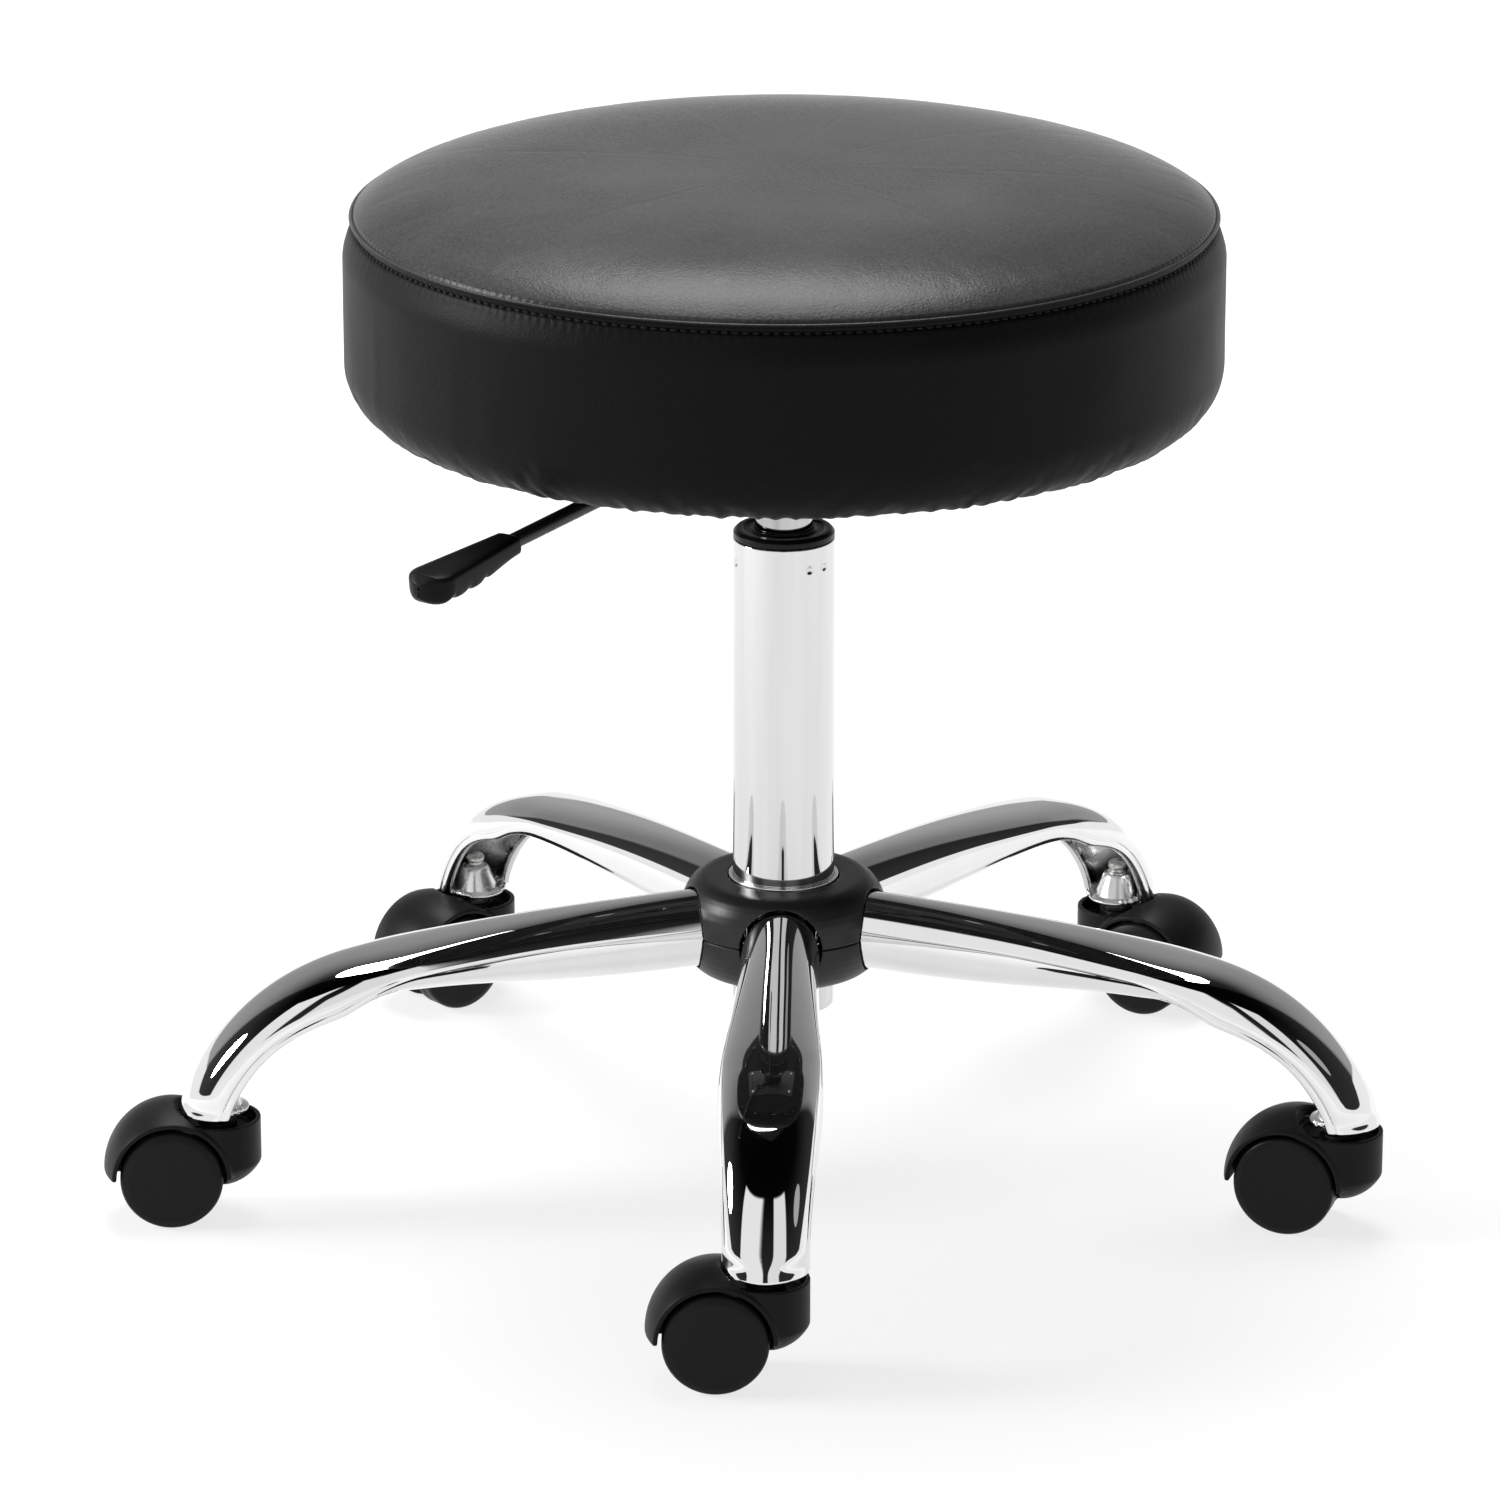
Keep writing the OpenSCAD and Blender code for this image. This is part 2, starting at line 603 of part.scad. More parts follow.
// Outline of the padded seat from the edge of its flat underside to the centre of the crown,
// pulled in by d all round.
function side_outline(d) = concat(
    ellipse_points(seat_base_d / 2, board_bottom_h + seat_round_h, side_r - seat_base_d / 2 - d,
                   seat_round_h + cover_t - d, -90, 0, 8),
    ellipse_points(seat_seam_d / 2 - 1, seam_h - 13, seat_bulge + 1 - d, 13 - d, 0, 80, 5)
);
function crown_outline(d) = concat(
    [for (k = [0 : 11]) let (t = pow(1 - k / 11, 0.55))
        [(seat_seam_d / 2 - d) * mix(crown_flat, 1, t), seam_h - d + seat_crown_h * (1 - pow(t, 4))]],
    [[0, seam_h - d + seat_crown_h]]
);

module seat_board() {
    color("burlywood") difference() {
        translate([0, 0, board_bottom_h]) cylinder(r = board_r, h = board_t, $fn = 96);
        screw_places() translate([0, 0, board_bottom_h - 1]) cylinder(d = seat_screw_d + 0.6, h = board_t + 2);
        screw_places() translate([0, 0, board_bottom_h + 2 - seat_gap])
            cylinder(r = seat_screw_d / 2 + 1 + fit, h = board_t);
    }
}

module seat_foam() {
    color("khaki") difference() {
        rotate_extrude($fn = 96) polygon(concat(
            [[0, board_bottom_h + board_t / 2]], [[seat_base_d / 2, board_bottom_h + board_t / 2]],
            [for (p = side_outline(cover_t + seat_gap)) if (p[1] > board_bottom_h + board_t / 2) p],
            crown_outline(cover_t + seat_gap)
        ));
        translate([0, 0, board_bottom_h]) cylinder(r = board_r + seat_gap, h = board_t + seat_gap, $fn = 96);
        screw_places() translate([0, 0, board_bottom_h]) cylinder(r = seat_screw_d / 2 + 6.4, h = board_t + 1.6);
        screw_places() translate([0, 0, board_bottom_h]) cylinder(d = seat_screw_d + 1, h = board_t + 8);
    }
}

module seat_top_cover() {
    inner = crown_outline(cover_t);
    color([0.17, 0.17, 0.17]) rotate_extrude($fn = 96)
        polygon(concat(crown_outline(0), [for (k = [len(inner) - 1 : -1 : 0]) inner[k]]));
}

module seat_side_cover() {
    outer = side_outline(0);
    inner = side_outline(cover_t);
    wrap = [[wrap_r, board_bottom_h - seat_gap], [wrap_r, board_bottom_h - cover_t]];
    color([0.15, 0.15, 0.15]) rotate_extrude($fn = 96)
        polygon(concat([wrap[0], wrap[1]], outer, [for (k = [len(inner) - 1 : -1 : 1]) inner[k]],
                       [[seat_base_d / 2, board_bottom_h - seat_gap]]));
}

module dust_cover() {
    color([0.1, 0.1, 0.1]) difference() {
        translate([0, 0, plate_top_h + seat_gap]) cylinder(r = wrap_r - 1, h = dust_t, $fn = 96);
        screw_places() translate([0, 0, plate_top_h - 1]) cylinder(d = seat_screw_d + 1, h = dust_t + 3);
    }
}

module cover_staples() {
    staple_l = 10;
    wire = 0.6;
    color("silver") for (a = [0 : 18 : 342]) rotate([0, 0, a])
        translate([wrap_r + 7, -staple_l / 2, board_bottom_h - cover_t - wire - 0.1]) {
            cube([wire, staple_l, wire]);
        }
}

// ---- Casters: the local frame has the stem on the Z axis and the wheels trailing along +X ----

module cup_solid() {
    round_h = rim_h - 11.6;
    rotate_extrude($fn = 96) difference() {
        union() {
            translate([0, round_h]) square([cup_d / 2, rim_h - round_h]);
            intersection() {
                translate([0, round_h]) circle(r = cup_round_r);
                square([cup_d / 2, round_h + 1]);
            }
        }
        translate([stem_d / 2 + 3.6, cup_floor_h]) square([cup_d / 2 - 2.2 - stem_d / 2 - 3.6, 20]);
        translate([-1, boss_top_h]) square([stem_d / 2 + 6, 20]);
        translate([-1, stem_bottom_h - seat_gap]) square([stem_d / 2 + fit + 1, 60]);
    }
}

// The hood is the upper half of a barrel about the axle, with a crowned side line.
module hood_solid() {
    bulge = hood_crown_r - hood_rim_r;
    crown_r = (hood_half_w * hood_half_w + bulge * bulge) / 2 / bulge;
    translate([caster_trail, 0, axle_h]) rotate([90, 0, 0]) rotate_extrude(angle = 180, $fn = 96)
        intersection() {
            translate([hood_crown_r - crown_r, 0]) circle(r = crown_r, $fn = 128);
            translate([0, -hood_half_w]) square([2 * hood_crown_r, 2 * hood_half_w]);
        }
}

module caster_housing_shape() {
    difference() {
        union() {
            cup_solid();
            difference() {
                hood_solid();
                translate([0, 0, rim_h - 3]) cylinder(r = cup_d / 2 + pass_gap, h = 30);
            }
            translate([caster_trail, 0, axle_h]) rotate([90, 0, 0]) cylinder(r = 9, h = caster_web_t, center = true);
            translate([0, -caster_web_t / 2, axle_h - 5]) cube([caster_trail, caster_web_t, 12]);
        }
        for (s = [-1, 1]) translate([caster_trail, s * (caster_web_t / 2 + 20), axle_h]) rotate([90, 0, 0])
            cylinder(r = well_r, h = 40, center = true, $fn = 96);
        translate([0, 0, stem_bottom_h - seat_gap]) cylinder(d = stem_d + 2 * fit, h = boss_top_h - stem_bottom_h);
        translate([caster_trail, 0, axle_h]) rotate([90, 0, 0])
            cylinder(d = axle_d + 2 * fit, h = 80, center = true);
    }
}

module caster_housing(i) {
    color([0.1, 0.1, 0.1]) at_caster(i) caster_housing_shape();
}

module caster_axle(i) {
    color("silver") at_caster(i) translate([caster_trail, 0, axle_h]) rotate([90, 0, 0])
        cylinder(d = axle_d, h = 2 * axle_end, center = true);
}

module wheel_shape() {
    r = wheel_d / 2;
    edge = 3;
    dome = 1.4;
    rotate_extrude($fn = 96) difference() {
        polygon(concat([[0, 0], [r - 1, 0], [r, 1]], ellipse_points(r - edge, wheel_w - edge, edge, edge, 0, 80, 5),
                       [[r * 0.6, wheel_w + dome * 0.7], [r * 0.3, wheel_w + dome], [0, wheel_w + dome * 1.1]]));
        translate([0, -1]) square([axle_d / 2 + fit, axle_end - caster_web_t / 2 - 0.6 + 1 + seat_gap]);
    }
}

module wheel(i, side) {
    color([0.09, 0.09, 0.09]) at_caster(i) translate([caster_trail, side * (caster_web_t / 2 + 0.6), axle_h])
        rotate([-90 * side, 0, 0]) wheel_shape();
}

arm(1);  // arm_1
arm(2);  // arm_2
arm(3);  // arm_3
arm(4);  // arm_4
arm(5);  // arm_5
hub_sleeve();
hub_cover_upper();
hub_cover_lower();
column_tube();
column_bush();
column_foot();
bearing_race_lower();
stem_sockets();
caster_stems();
piston_rod();
piston();
bearing_race_upper();
bearing_balls();
rod_buffer();
rod_clip();
gas_cylinder();
seat_plate();
taper_socket();
lever_bracket();
lever_pin();
plate_screws();
tee_nuts();
seat_board();
seat_foam();
seat_top_cover();
seat_side_cover();
dust_cover();
cover_staples();
lever_rod();
lever_sleeve();
lever_grip();
release_pin();
caster_housing(1);  // caster_housing_1
caster_housing(2);  // caster_housing_2
caster_housing(3);  // caster_housing_3
caster_housing(4);  // caster_housing_4
caster_housing(5);  // caster_housing_5
caster_axle(1);  // caster_axle_1
caster_axle(2);  // caster_axle_2
caster_axle(3);  // caster_axle_3
caster_axle(4);  // caster_axle_4
caster_axle(5);  // caster_axle_5
wheel(1, 1);  // wheel_left_1
wheel(2, 1);  // wheel_left_2
wheel(3, 1);  // wheel_left_3
wheel(4, 1);  // wheel_left_4
wheel(5, 1);  // wheel_left_5
wheel(1, -1);  // wheel_right_1
wheel(2, -1);  // wheel_right_2
wheel(3, -1);  // wheel_right_3
wheel(4, -1);  // wheel_right_4
wheel(5, -1);  // wheel_right_5
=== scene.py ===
"""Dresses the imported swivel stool: chromed five-arm base, hub, column, gas lift, padded seat, casters.

Sizes are millimetres in the part's own frame (column axis on Z, floor at 0, front arm towards -Y),
and each mesh is written in metres. New pieces are surfaces worked out with numpy on grids, or copies of
the frame's pieces with softened edges.
"""

import logging
import math
from dataclasses import dataclass
from enum import Enum

import bmesh
import bpy
import numpy as np
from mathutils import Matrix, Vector


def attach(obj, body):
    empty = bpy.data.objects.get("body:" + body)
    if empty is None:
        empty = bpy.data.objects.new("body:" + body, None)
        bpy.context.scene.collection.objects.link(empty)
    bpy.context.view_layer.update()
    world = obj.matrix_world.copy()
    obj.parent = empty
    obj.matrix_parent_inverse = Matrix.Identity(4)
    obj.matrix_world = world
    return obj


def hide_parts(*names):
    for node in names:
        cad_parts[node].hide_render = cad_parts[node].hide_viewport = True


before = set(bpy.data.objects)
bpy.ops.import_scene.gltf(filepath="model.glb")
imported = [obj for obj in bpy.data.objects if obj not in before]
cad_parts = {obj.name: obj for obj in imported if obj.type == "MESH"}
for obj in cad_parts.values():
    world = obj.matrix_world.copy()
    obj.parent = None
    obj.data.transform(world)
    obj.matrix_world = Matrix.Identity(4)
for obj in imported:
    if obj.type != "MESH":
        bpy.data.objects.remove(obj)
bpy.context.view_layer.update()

MM = 0.001
FIT = 0.05
TURN = 2 * np.pi
LOG = logging.getLogger("stool")

Array = np.ndarray
Surface = tuple[Array, Array]
Place = tuple[float, float, float]
Stops = tuple[tuple[float, float], ...]
Object = bpy.types.Object
Socket = bpy.types.NodeSocket
Inputs = dict[str | int, object]


# ---- Numbers and meshes ----


def smooth_step(t: Array) -> Array:
    """Rises from 0 to 1 as 3t^2 - 2t^3, and is level outside that range."""
    s = np.clip(t, 0.0, 1.0)
    return s * s * (3.0 - 2.0 * s)


def mix(a: Array, b: Array, t: Array) -> Array:
    """Goes straight from a at t = 0 to b at t = 1."""
    return a + (b - a) * t


def bell(x: Array, width: float) -> Array:
    """Bell curve exp(-(x / width)^2)."""
    return np.exp(-((x / width) ** 2))


def around(count: int) -> Array:
    """Angles of `count` equal steps round a circle."""
    return np.linspace(0.0, TURN, count, endpoint=False)


def xyz(*parts: Array) -> Array:
    """Joins coordinates of any shapes into points, on a new last axis."""
    return np.stack(np.broadcast_arrays(*parts), -1)


def turn_z(points: Array, degrees: float, shift: Place = (0.0, 0.0, 0.0)) -> Array:
    """Turns points about the Z axis, anticlockwise from above, and then shifts them."""
    c, s = math.cos(math.radians(degrees)), math.sin(math.radians(degrees))
    return points @ np.array([[c, s, 0.0], [-s, c, 0.0], [0.0, 0.0, 1.0]]) + np.array(shift)


def ring_quads(rows: int, cols: int, closed: bool = False) -> Array:
    """Faces of a grid whose columns close on themselves, where point (r, c) is number r * cols + c.

    Args:
        rows: Number of rings.
        cols: Points in each ring.
        closed: True where the last ring joins the first.

    Returns:
        Array (faces, 4) of point numbers.
    """
    r = np.arange(rows if closed else rows - 1)[:, None]
    c = np.arange(cols)[None, :]
    below, beside = (r + 1) % rows, (c + 1) % cols
    corners = [r * cols + c, r * cols + beside, below * cols + beside, below * cols + c]
    return np.stack(corners, -1).reshape(-1, 4)


def skin(rings: Array, closed: bool = False) -> Surface:
    """Points and faces of a grid of rings, given as (rings, points, 3)."""
    return rings.reshape(-1, 3), ring_quads(*rings.shape[:2], closed)


def repeated(points: Array, quads: Array) -> Surface:
    """Joins copies of one grid, given as (copies, points, 3) and one copy's faces, into one mesh."""
    copies, count = points.shape[:2]
    return points.reshape(-1, 3), (quads[None] + np.arange(copies)[:, None, None] * count).reshape(-1, 4)


def rounded(outline: Array, radius: float, steps: int, closed: bool = True) -> Array:
    """Rounds the corners of an outline. The corner P between A and B becomes the curve
    (1-s)^2 P1 + 2s(1-s) P + s^2 P2, where P1 and P2 lie `radius` from P on its two sides,
    or 0.45 of a side that is shorter. Points on the axis stay sharp.

    Args:
        outline: Array (n, 2) of r, z.
        radius: How far the rounding reaches along each side.
        steps: Pieces of each curve.
        closed: False where the outline's ends are not joined.

    Returns:
        Array (n * (steps + 1), 2).
    """
    to_last, to_next = np.roll(outline, 1, 0) - outline, np.roll(outline, -1, 0) - outline
    last_l, next_l = np.linalg.norm(to_last, axis=1), np.linalg.norm(to_next, axis=1)
    reach = np.minimum(radius, 0.45 * np.minimum(last_l, next_l))
    reach[outline[:, 0] < 1e-6] = 0.0
    if not closed:
        reach[[0, -1]] = 0.0
    start = outline + to_last / np.maximum(last_l, 1e-9)[:, None] * reach[:, None]
    end = outline + to_next / np.maximum(next_l, 1e-9)[:, None] * reach[:, None]
    s = np.linspace(0.0, 1.0, steps + 1)[None, :, None]
    curve = (1 - s) ** 2 * start[:, None] + 2 * s * (1 - s) * outline[:, None] + s**2 * end[:, None]
    return curve.reshape(-1, 2)


def revolve(outline: Array, sides: int, closed: bool = True) -> Surface:
    """Surface of revolution: an outline point (r, z) becomes the ring (r cos a, r sin a, z)."""
    a, r = around(sides), outline[:, :1]
    return skin(xyz(r * np.cos(a), r * np.sin(a), outline[:, 1:]), closed)


def turned(corners: list[list[float]], base_h: float, radius: float, steps: int, sides: int,
           closed: bool = True) -> Surface:
    """A lathe-turned form.

    Args:
        corners: Corners r, z of its outline.
        base_h: Height that is added to each z.
        radius: Rounding of the corners.
        steps: Pieces of each rounding.
        sides: Points round the axis.
        closed: False where both ends of the outline lie on the axis.

    Returns:
        Points and faces.
    """
    return revolve(rounded(np.array(corners) + np.array([0.0, base_h]), radius, steps, closed), sides, closed)


def read(items: bpy.types.bpy_prop_collection, key: str, numbers: int = 3) -> Array:
    """Reads one property of every item in a mesh.

    Args:
        items: The items.
        key: Name of the property.
        numbers: 1 where it is a whole number, 3 where it is a vector.

    Returns:
        The numbers in rows of three.
    """
    values = np.empty(len(items) * numbers, int if numbers == 1 else float)
    items.foreach_get(key, values)
    return values.reshape(-1, 3)


def linked(name: str, data: bpy.types.ID) -> Object:
    """Makes an object and links it to the scene.

    Args:
        name: Name of the object.
        data: Its mesh, lamp or camera.

    Returns:
        The object.
    """
    made = bpy.data.objects.new(name, data)
    bpy.context.scene.collection.objects.link(made)
    return made


def aimed(made: Object, place: Place, aim: Place) -> None:
    """Puts a lamp or camera in its place and turns it towards its aim."""
    made.location, made.rotation_mode = place, "QUATERNION"
    made.rotation_quaternion = (Vector(place) - Vector(aim)).to_track_quat("Z", "Y")


def piece(name: str, surface: Surface, caps: tuple[list[int], ...] = (), sharp: float = 40.0) -> Object:
    """Makes a mesh object at the origin, its doubles merged and its faces pointing outwards.

    Args:
        name: Name of the piece.
        surface: Points in millimetres and faces.
        caps: Further faces with any number of corners.
        sharp: Edges that bend more than this many degrees stay sharp.

    Returns:
        The linked object.
    """
    points, faces = surface
    mesh = bpy.data.meshes.new(name)
    mesh.from_pydata((points * MM).tolist(), [], faces.tolist() + list(caps))
    work = bmesh.new()
    work.from_mesh(mesh)
    bmesh.ops.remove_doubles(work, verts=work.verts, dist=2e-6)
    bmesh.ops.recalc_face_normals(work, faces=work.faces)
    work.to_mesh(mesh)
    work.free()
    mesh.shade_smooth()
    mesh.set_sharp_from_angle(angle=math.radians(sharp))
    return linked(name, mesh)


def triangles(mesh: bpy.types.Mesh) -> Surface:
    """Points in millimetres and faces of a mesh that has triangles only."""
    return read(mesh.vertices, "co") / MM, read(mesh.loops, "vertex_index", 1)


def baked(made: Object) -> Object:
    """Replaces an object's mesh with what its modifiers make of it, and removes them.

    Args:
        made: The object.

    Returns:
        The same object.
    """
    mesh = bpy.data.meshes.new_from_object(made.evaluated_get(bpy.context.evaluated_depsgraph_get()))
    made.modifiers.clear()
    made.data = mesh
    mesh.shade_smooth()
    return made


def softened_copy(name: str, node: str, voxel: float, passes: int, keep: float) -> Object:
    """Copies a node as one moulded skin with rounded edges: a voxel remesh, smoothing and thinning.

    Args:
        name: Name of the new piece.
        node: Name of the frame's node.
        voxel: Grid size of the remesh, in millimetres.
        passes: Smoothing passes, which round the edges.
        keep: Share of the faces that stays.

    Returns:
        The linked copy with the modifiers' result in its mesh.
    """
    made = piece(name, triangles(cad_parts[node].data))
    remesh = made.modifiers.new("skin", "REMESH")
    remesh.mode, remesh.voxel_size = "VOXEL", voxel * MM
    smoothing = made.modifiers.new("edges", "SMOOTH")
    smoothing.factor, smoothing.iterations = 0.5, passes
    made.modifiers.new("thin", "DECIMATE").ratio = keep
    return baked(made)


def bevelled_copy(name: str, node: str, width: float) -> Object:
    """Copies a node and rounds its sharp edges with a bevel.

    Args:
        name: Name of the new piece.
        node: Name of the frame's node.
        width: Width of the bevel in millimetres.

    Returns:
        The linked copy.
    """
    made = piece(name, triangles(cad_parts[node].data))
    bevel = made.modifiers.new("edges", "BEVEL")
    bevel.width, bevel.segments = width * MM, 3
    bevel.limit_method, bevel.angle_limit = "ANGLE", math.radians(35)
    bevel.use_clamp_overlap = True
    baked(made).data.set_sharp_from_angle(angle=math.radians(30))
    return made


# ---- Finishes ----


class Nodes:
    """Writes the nodes of one material or world."""

    def __init__(self, owner: bpy.types.Material | bpy.types.World) -> None:
        """Empties the owner's node tree.

        Args:
            owner: The material or world.
        """
        owner.use_nodes = True
        self.owner, self.tree = owner, owner.node_tree
        self.tree.nodes.clear()

    def set(self, node: bpy.types.Node, inputs: Inputs) -> None:
        """Gives a node's inputs their values or sockets.

        Args:
            node: The node.
            inputs: Values or sockets by the input's name or number.
        """
        for key, value in inputs.items():
            if isinstance(value, Socket):
                self.tree.links.new(value, node.inputs[key])
            else:
                node.inputs[key].default_value = value

    def add(self, kind: str, inputs: Inputs | None = None, **settings: object) -> bpy.types.Node:
        """Adds a node.

        Args:
            kind: Blender's name of the node type, without ShaderNode.
            inputs: Values or sockets for the node's inputs.
            settings: The node's own properties.

        Returns:
            The node.
        """
        node = self.tree.nodes.new("ShaderNode" + kind)
        for key, value in settings.items():
            setattr(node, key, value)
        self.set(node, inputs or {})
        return node

    def math(self, operation: str, *values: Socket | float) -> Socket:
        """Result of a Math node."""
        return self.add("Math", dict(enumerate(values)), operation=operation).outputs[0]

    def spread(self, value: Socket, low: float, high: float, start: float = 0.3, end: float = 0.7) -> Socket:
        """Maps a value from start..end to low..high."""
        inputs = {"Value": value, "From Min": start, "From Max": end, "To Min": low, "To Max": high}
        return self.add("MapRange", inputs).outputs[0]

    def ramp(self, value: Socket, stops: Stops, warm: float = 0.0) -> Socket:
        """Turns a value into a colour.

        Args:
            value: A value from 0 to 1.
            stops: Values with their grey levels.
            warm: How far the greys are tinted towards orange.

        Returns:
            The colour.
        """
        node = self.add("ValToRGB", {"Fac": value})
        points = node.color_ramp.elements
        while len(points) < len(stops):
            points.new(0.5)
        for point, (at, level) in zip(points, stops):
            point.position = at
            point.color = (level * (1 + warm), level, level * (1 - warm), 1.0)
        return node.outputs[0]

    def end(self, kind: str, carried: bpy.types.Node, shown: bpy.types.Node) -> None:
        """Ends the tree with one shader on rays that carry light, and another on rays from the camera
        and through mirrors and glass.

        Args:
            kind: Material or World.
            carried: The shader that lights the stool.
            shown: The shader that is seen.
        """
        path = self.add("LightPath").outputs
        seen = path["Is Camera Ray"]
        for name in ("Is Glossy Ray", "Is Transmission Ray"):
            seen = self.add("Math", {0: seen, 1: path[name]}, operation="ADD", use_clamp=True).outputs[0]
        choice = self.add("MixShader", {0: seen, 1: carried.outputs[0], 2: shown.outputs[0]})
        self.add("Output" + kind, {0: choice.outputs[0]})


class NodePad(Nodes):
    """The nodes of one finish round a Principled shader, on the piece's own coordinates."""

    def __init__(self, name: str) -> None:
        """Starts a material that has nothing but the shader.

        Args:
            name: Name of the material.
        """
        super().__init__(bpy.data.materials.new(name))
        self.shader = self.add("BsdfPrincipled")
        self.add("OutputMaterial", {"Surface": self.shader.outputs[0]})
        self.place = self.add("TexCoord").outputs["Object"]

    def cells(self, scale: float, feature: str = "F1") -> Socket:
        """Distance to the nearest of scattered points about 1 / scale metres apart."""
        node = self.add("TexVoronoi", {"Vector": self.place, "Scale": scale}, feature=feature)
        return node.outputs["Distance"]

    def tone(self, value: Socket, dark: float, pale: float, warm: float = 0.0) -> Socket:
        """Colour that goes from a dark to a pale grey as the value goes from 0.3 to 0.7."""
        return self.ramp(value, ((0.3, dark), (0.7, pale)), warm)

    def bump(self, height: Socket, distance: float, under: Socket | None = None) -> Socket:
        """Normal from a height of `distance` millimetres, over another normal."""
        inputs = {"Height": height, "Distance": distance * MM, "Strength": 1.0}
        return self.add("Bump", inputs | ({"Normal": under} if under else {})).outputs[0]


@dataclass(frozen=True)
class Coat:
    """What every finish shares: its name and the way its material is made."""

    name: str

    def inputs(self, pad: NodePad) -> Inputs:
        """The Principled shader's inputs, from nodes on the pad."""
        raise NotImplementedError

    def material(self) -> bpy.types.Material:
        """Builds the material.

        Returns:
            The material.
        """
        pad = NodePad(self.name)
        pad.set(pad.shader, self.inputs(pad))
        return pad.owner


@dataclass(frozen=True)
class Noise:
    """Fractal noise of about 1 / scale metres: its octaves, how much they keep, and its stretch."""

    scale: float
    detail: float = 2.0
    keep: float = 0.5
    stretch: Place | None = None

    def on(self, pad: NodePad) -> Socket:
        """Lays the noise over the piece's own coordinates.

        Args:
            pad: The material's nodes.

        Returns:
            The noise, about 0.3 to 0.7.
        """
        place = pad.place
        if self.stretch:
            place = pad.add("Mapping", {"Vector": place, "Scale": self.stretch}).outputs[0]
        inputs = {"Vector": place, "Scale": self.scale, "Detail": self.detail, "Roughness": self.keep}
        return pad.add("TexNoise", inputs).outputs[0]


@dataclass(frozen=True)
class Chrome(Coat):
    """Plated steel: a mirror with faint waves from the pressing, streaks along Z from drawing the tube,
    handling haze and fine polish marks."""

    level: float
    haze: float
    wave: float
    streaks: float = 0.03

    def inputs(self, pad: NodePad) -> Inputs:
        """Level from the streaks, roughness from the haze, normal from marks over waves.

        Args:
            pad: The material's nodes.

        Returns:
            Values and sockets by input.
        """
        smears = Noise(35.0, 4.0, 0.6).on(pad)
        drawn = Noise(60.0, 3.0, 0.6, (1.0, 1.0, 0.03)).on(pad)
        marks = Noise(900.0, 2.0, 0.5, (1.0, 1.0, 0.06)).on(pad)
        return {
            "Base Color": pad.tone(drawn, self.level * (1 - self.streaks), self.level),
            "Metallic": 1.0,
            "Roughness": pad.spread(smears, self.haze, self.haze * 2.6, 0.45, 0.85),
            "Normal": pad.bump(marks, 0.0006, pad.bump(Noise(45.0, 1.0).on(pad), self.wave)),
        }


@dataclass(frozen=True)
class Matt(Coat):
    """A dull surface. One noise, the stain, moves colour and roughness between two values each; another,
    the relief, moves the normal by a height in millimetres, over a grid of dots where there is one."""

    dark: float
    pale: float
    smooth: float
    rough: float
    stain: Noise
    relief: Noise
    height: float
    shine: float
    warm: float = 0.0
    dots: float = 0.0

    def inputs(self, pad: NodePad) -> Inputs:
        """Colour and roughness from the stain, normal from the relief.

        Args:
            pad: The material's nodes.

        Returns:
            Values and sockets by input.
        """
        stain = self.stain.on(pad)
        relief = stain if self.relief == self.stain else self.relief.on(pad)
        under = pad.bump(pad.cells(480.0), self.dots) if self.dots else None
        return {
            "Base Color": pad.tone(stain, self.dark, self.pale, self.warm),
            "Roughness": pad.spread(stain, self.smooth, self.rough),
            "Specular IOR Level": self.shine,
            "Normal": pad.bump(relief, self.height, under),
        }


def moulded(name: str, dark: float, pale: float, rough: float, grain: float, shine: float) -> Matt:
    """Moulded plastic or rubber: fine spark-eroded texture, soft flow marks and slightly scuffed spots."""
    flow, spark = Noise(22.0, 3.0), Noise(2600.0, 3.0, 0.6)
    return Matt(name, dark, pale, rough * 0.86, rough * 1.15, flow, spark, grain, shine)


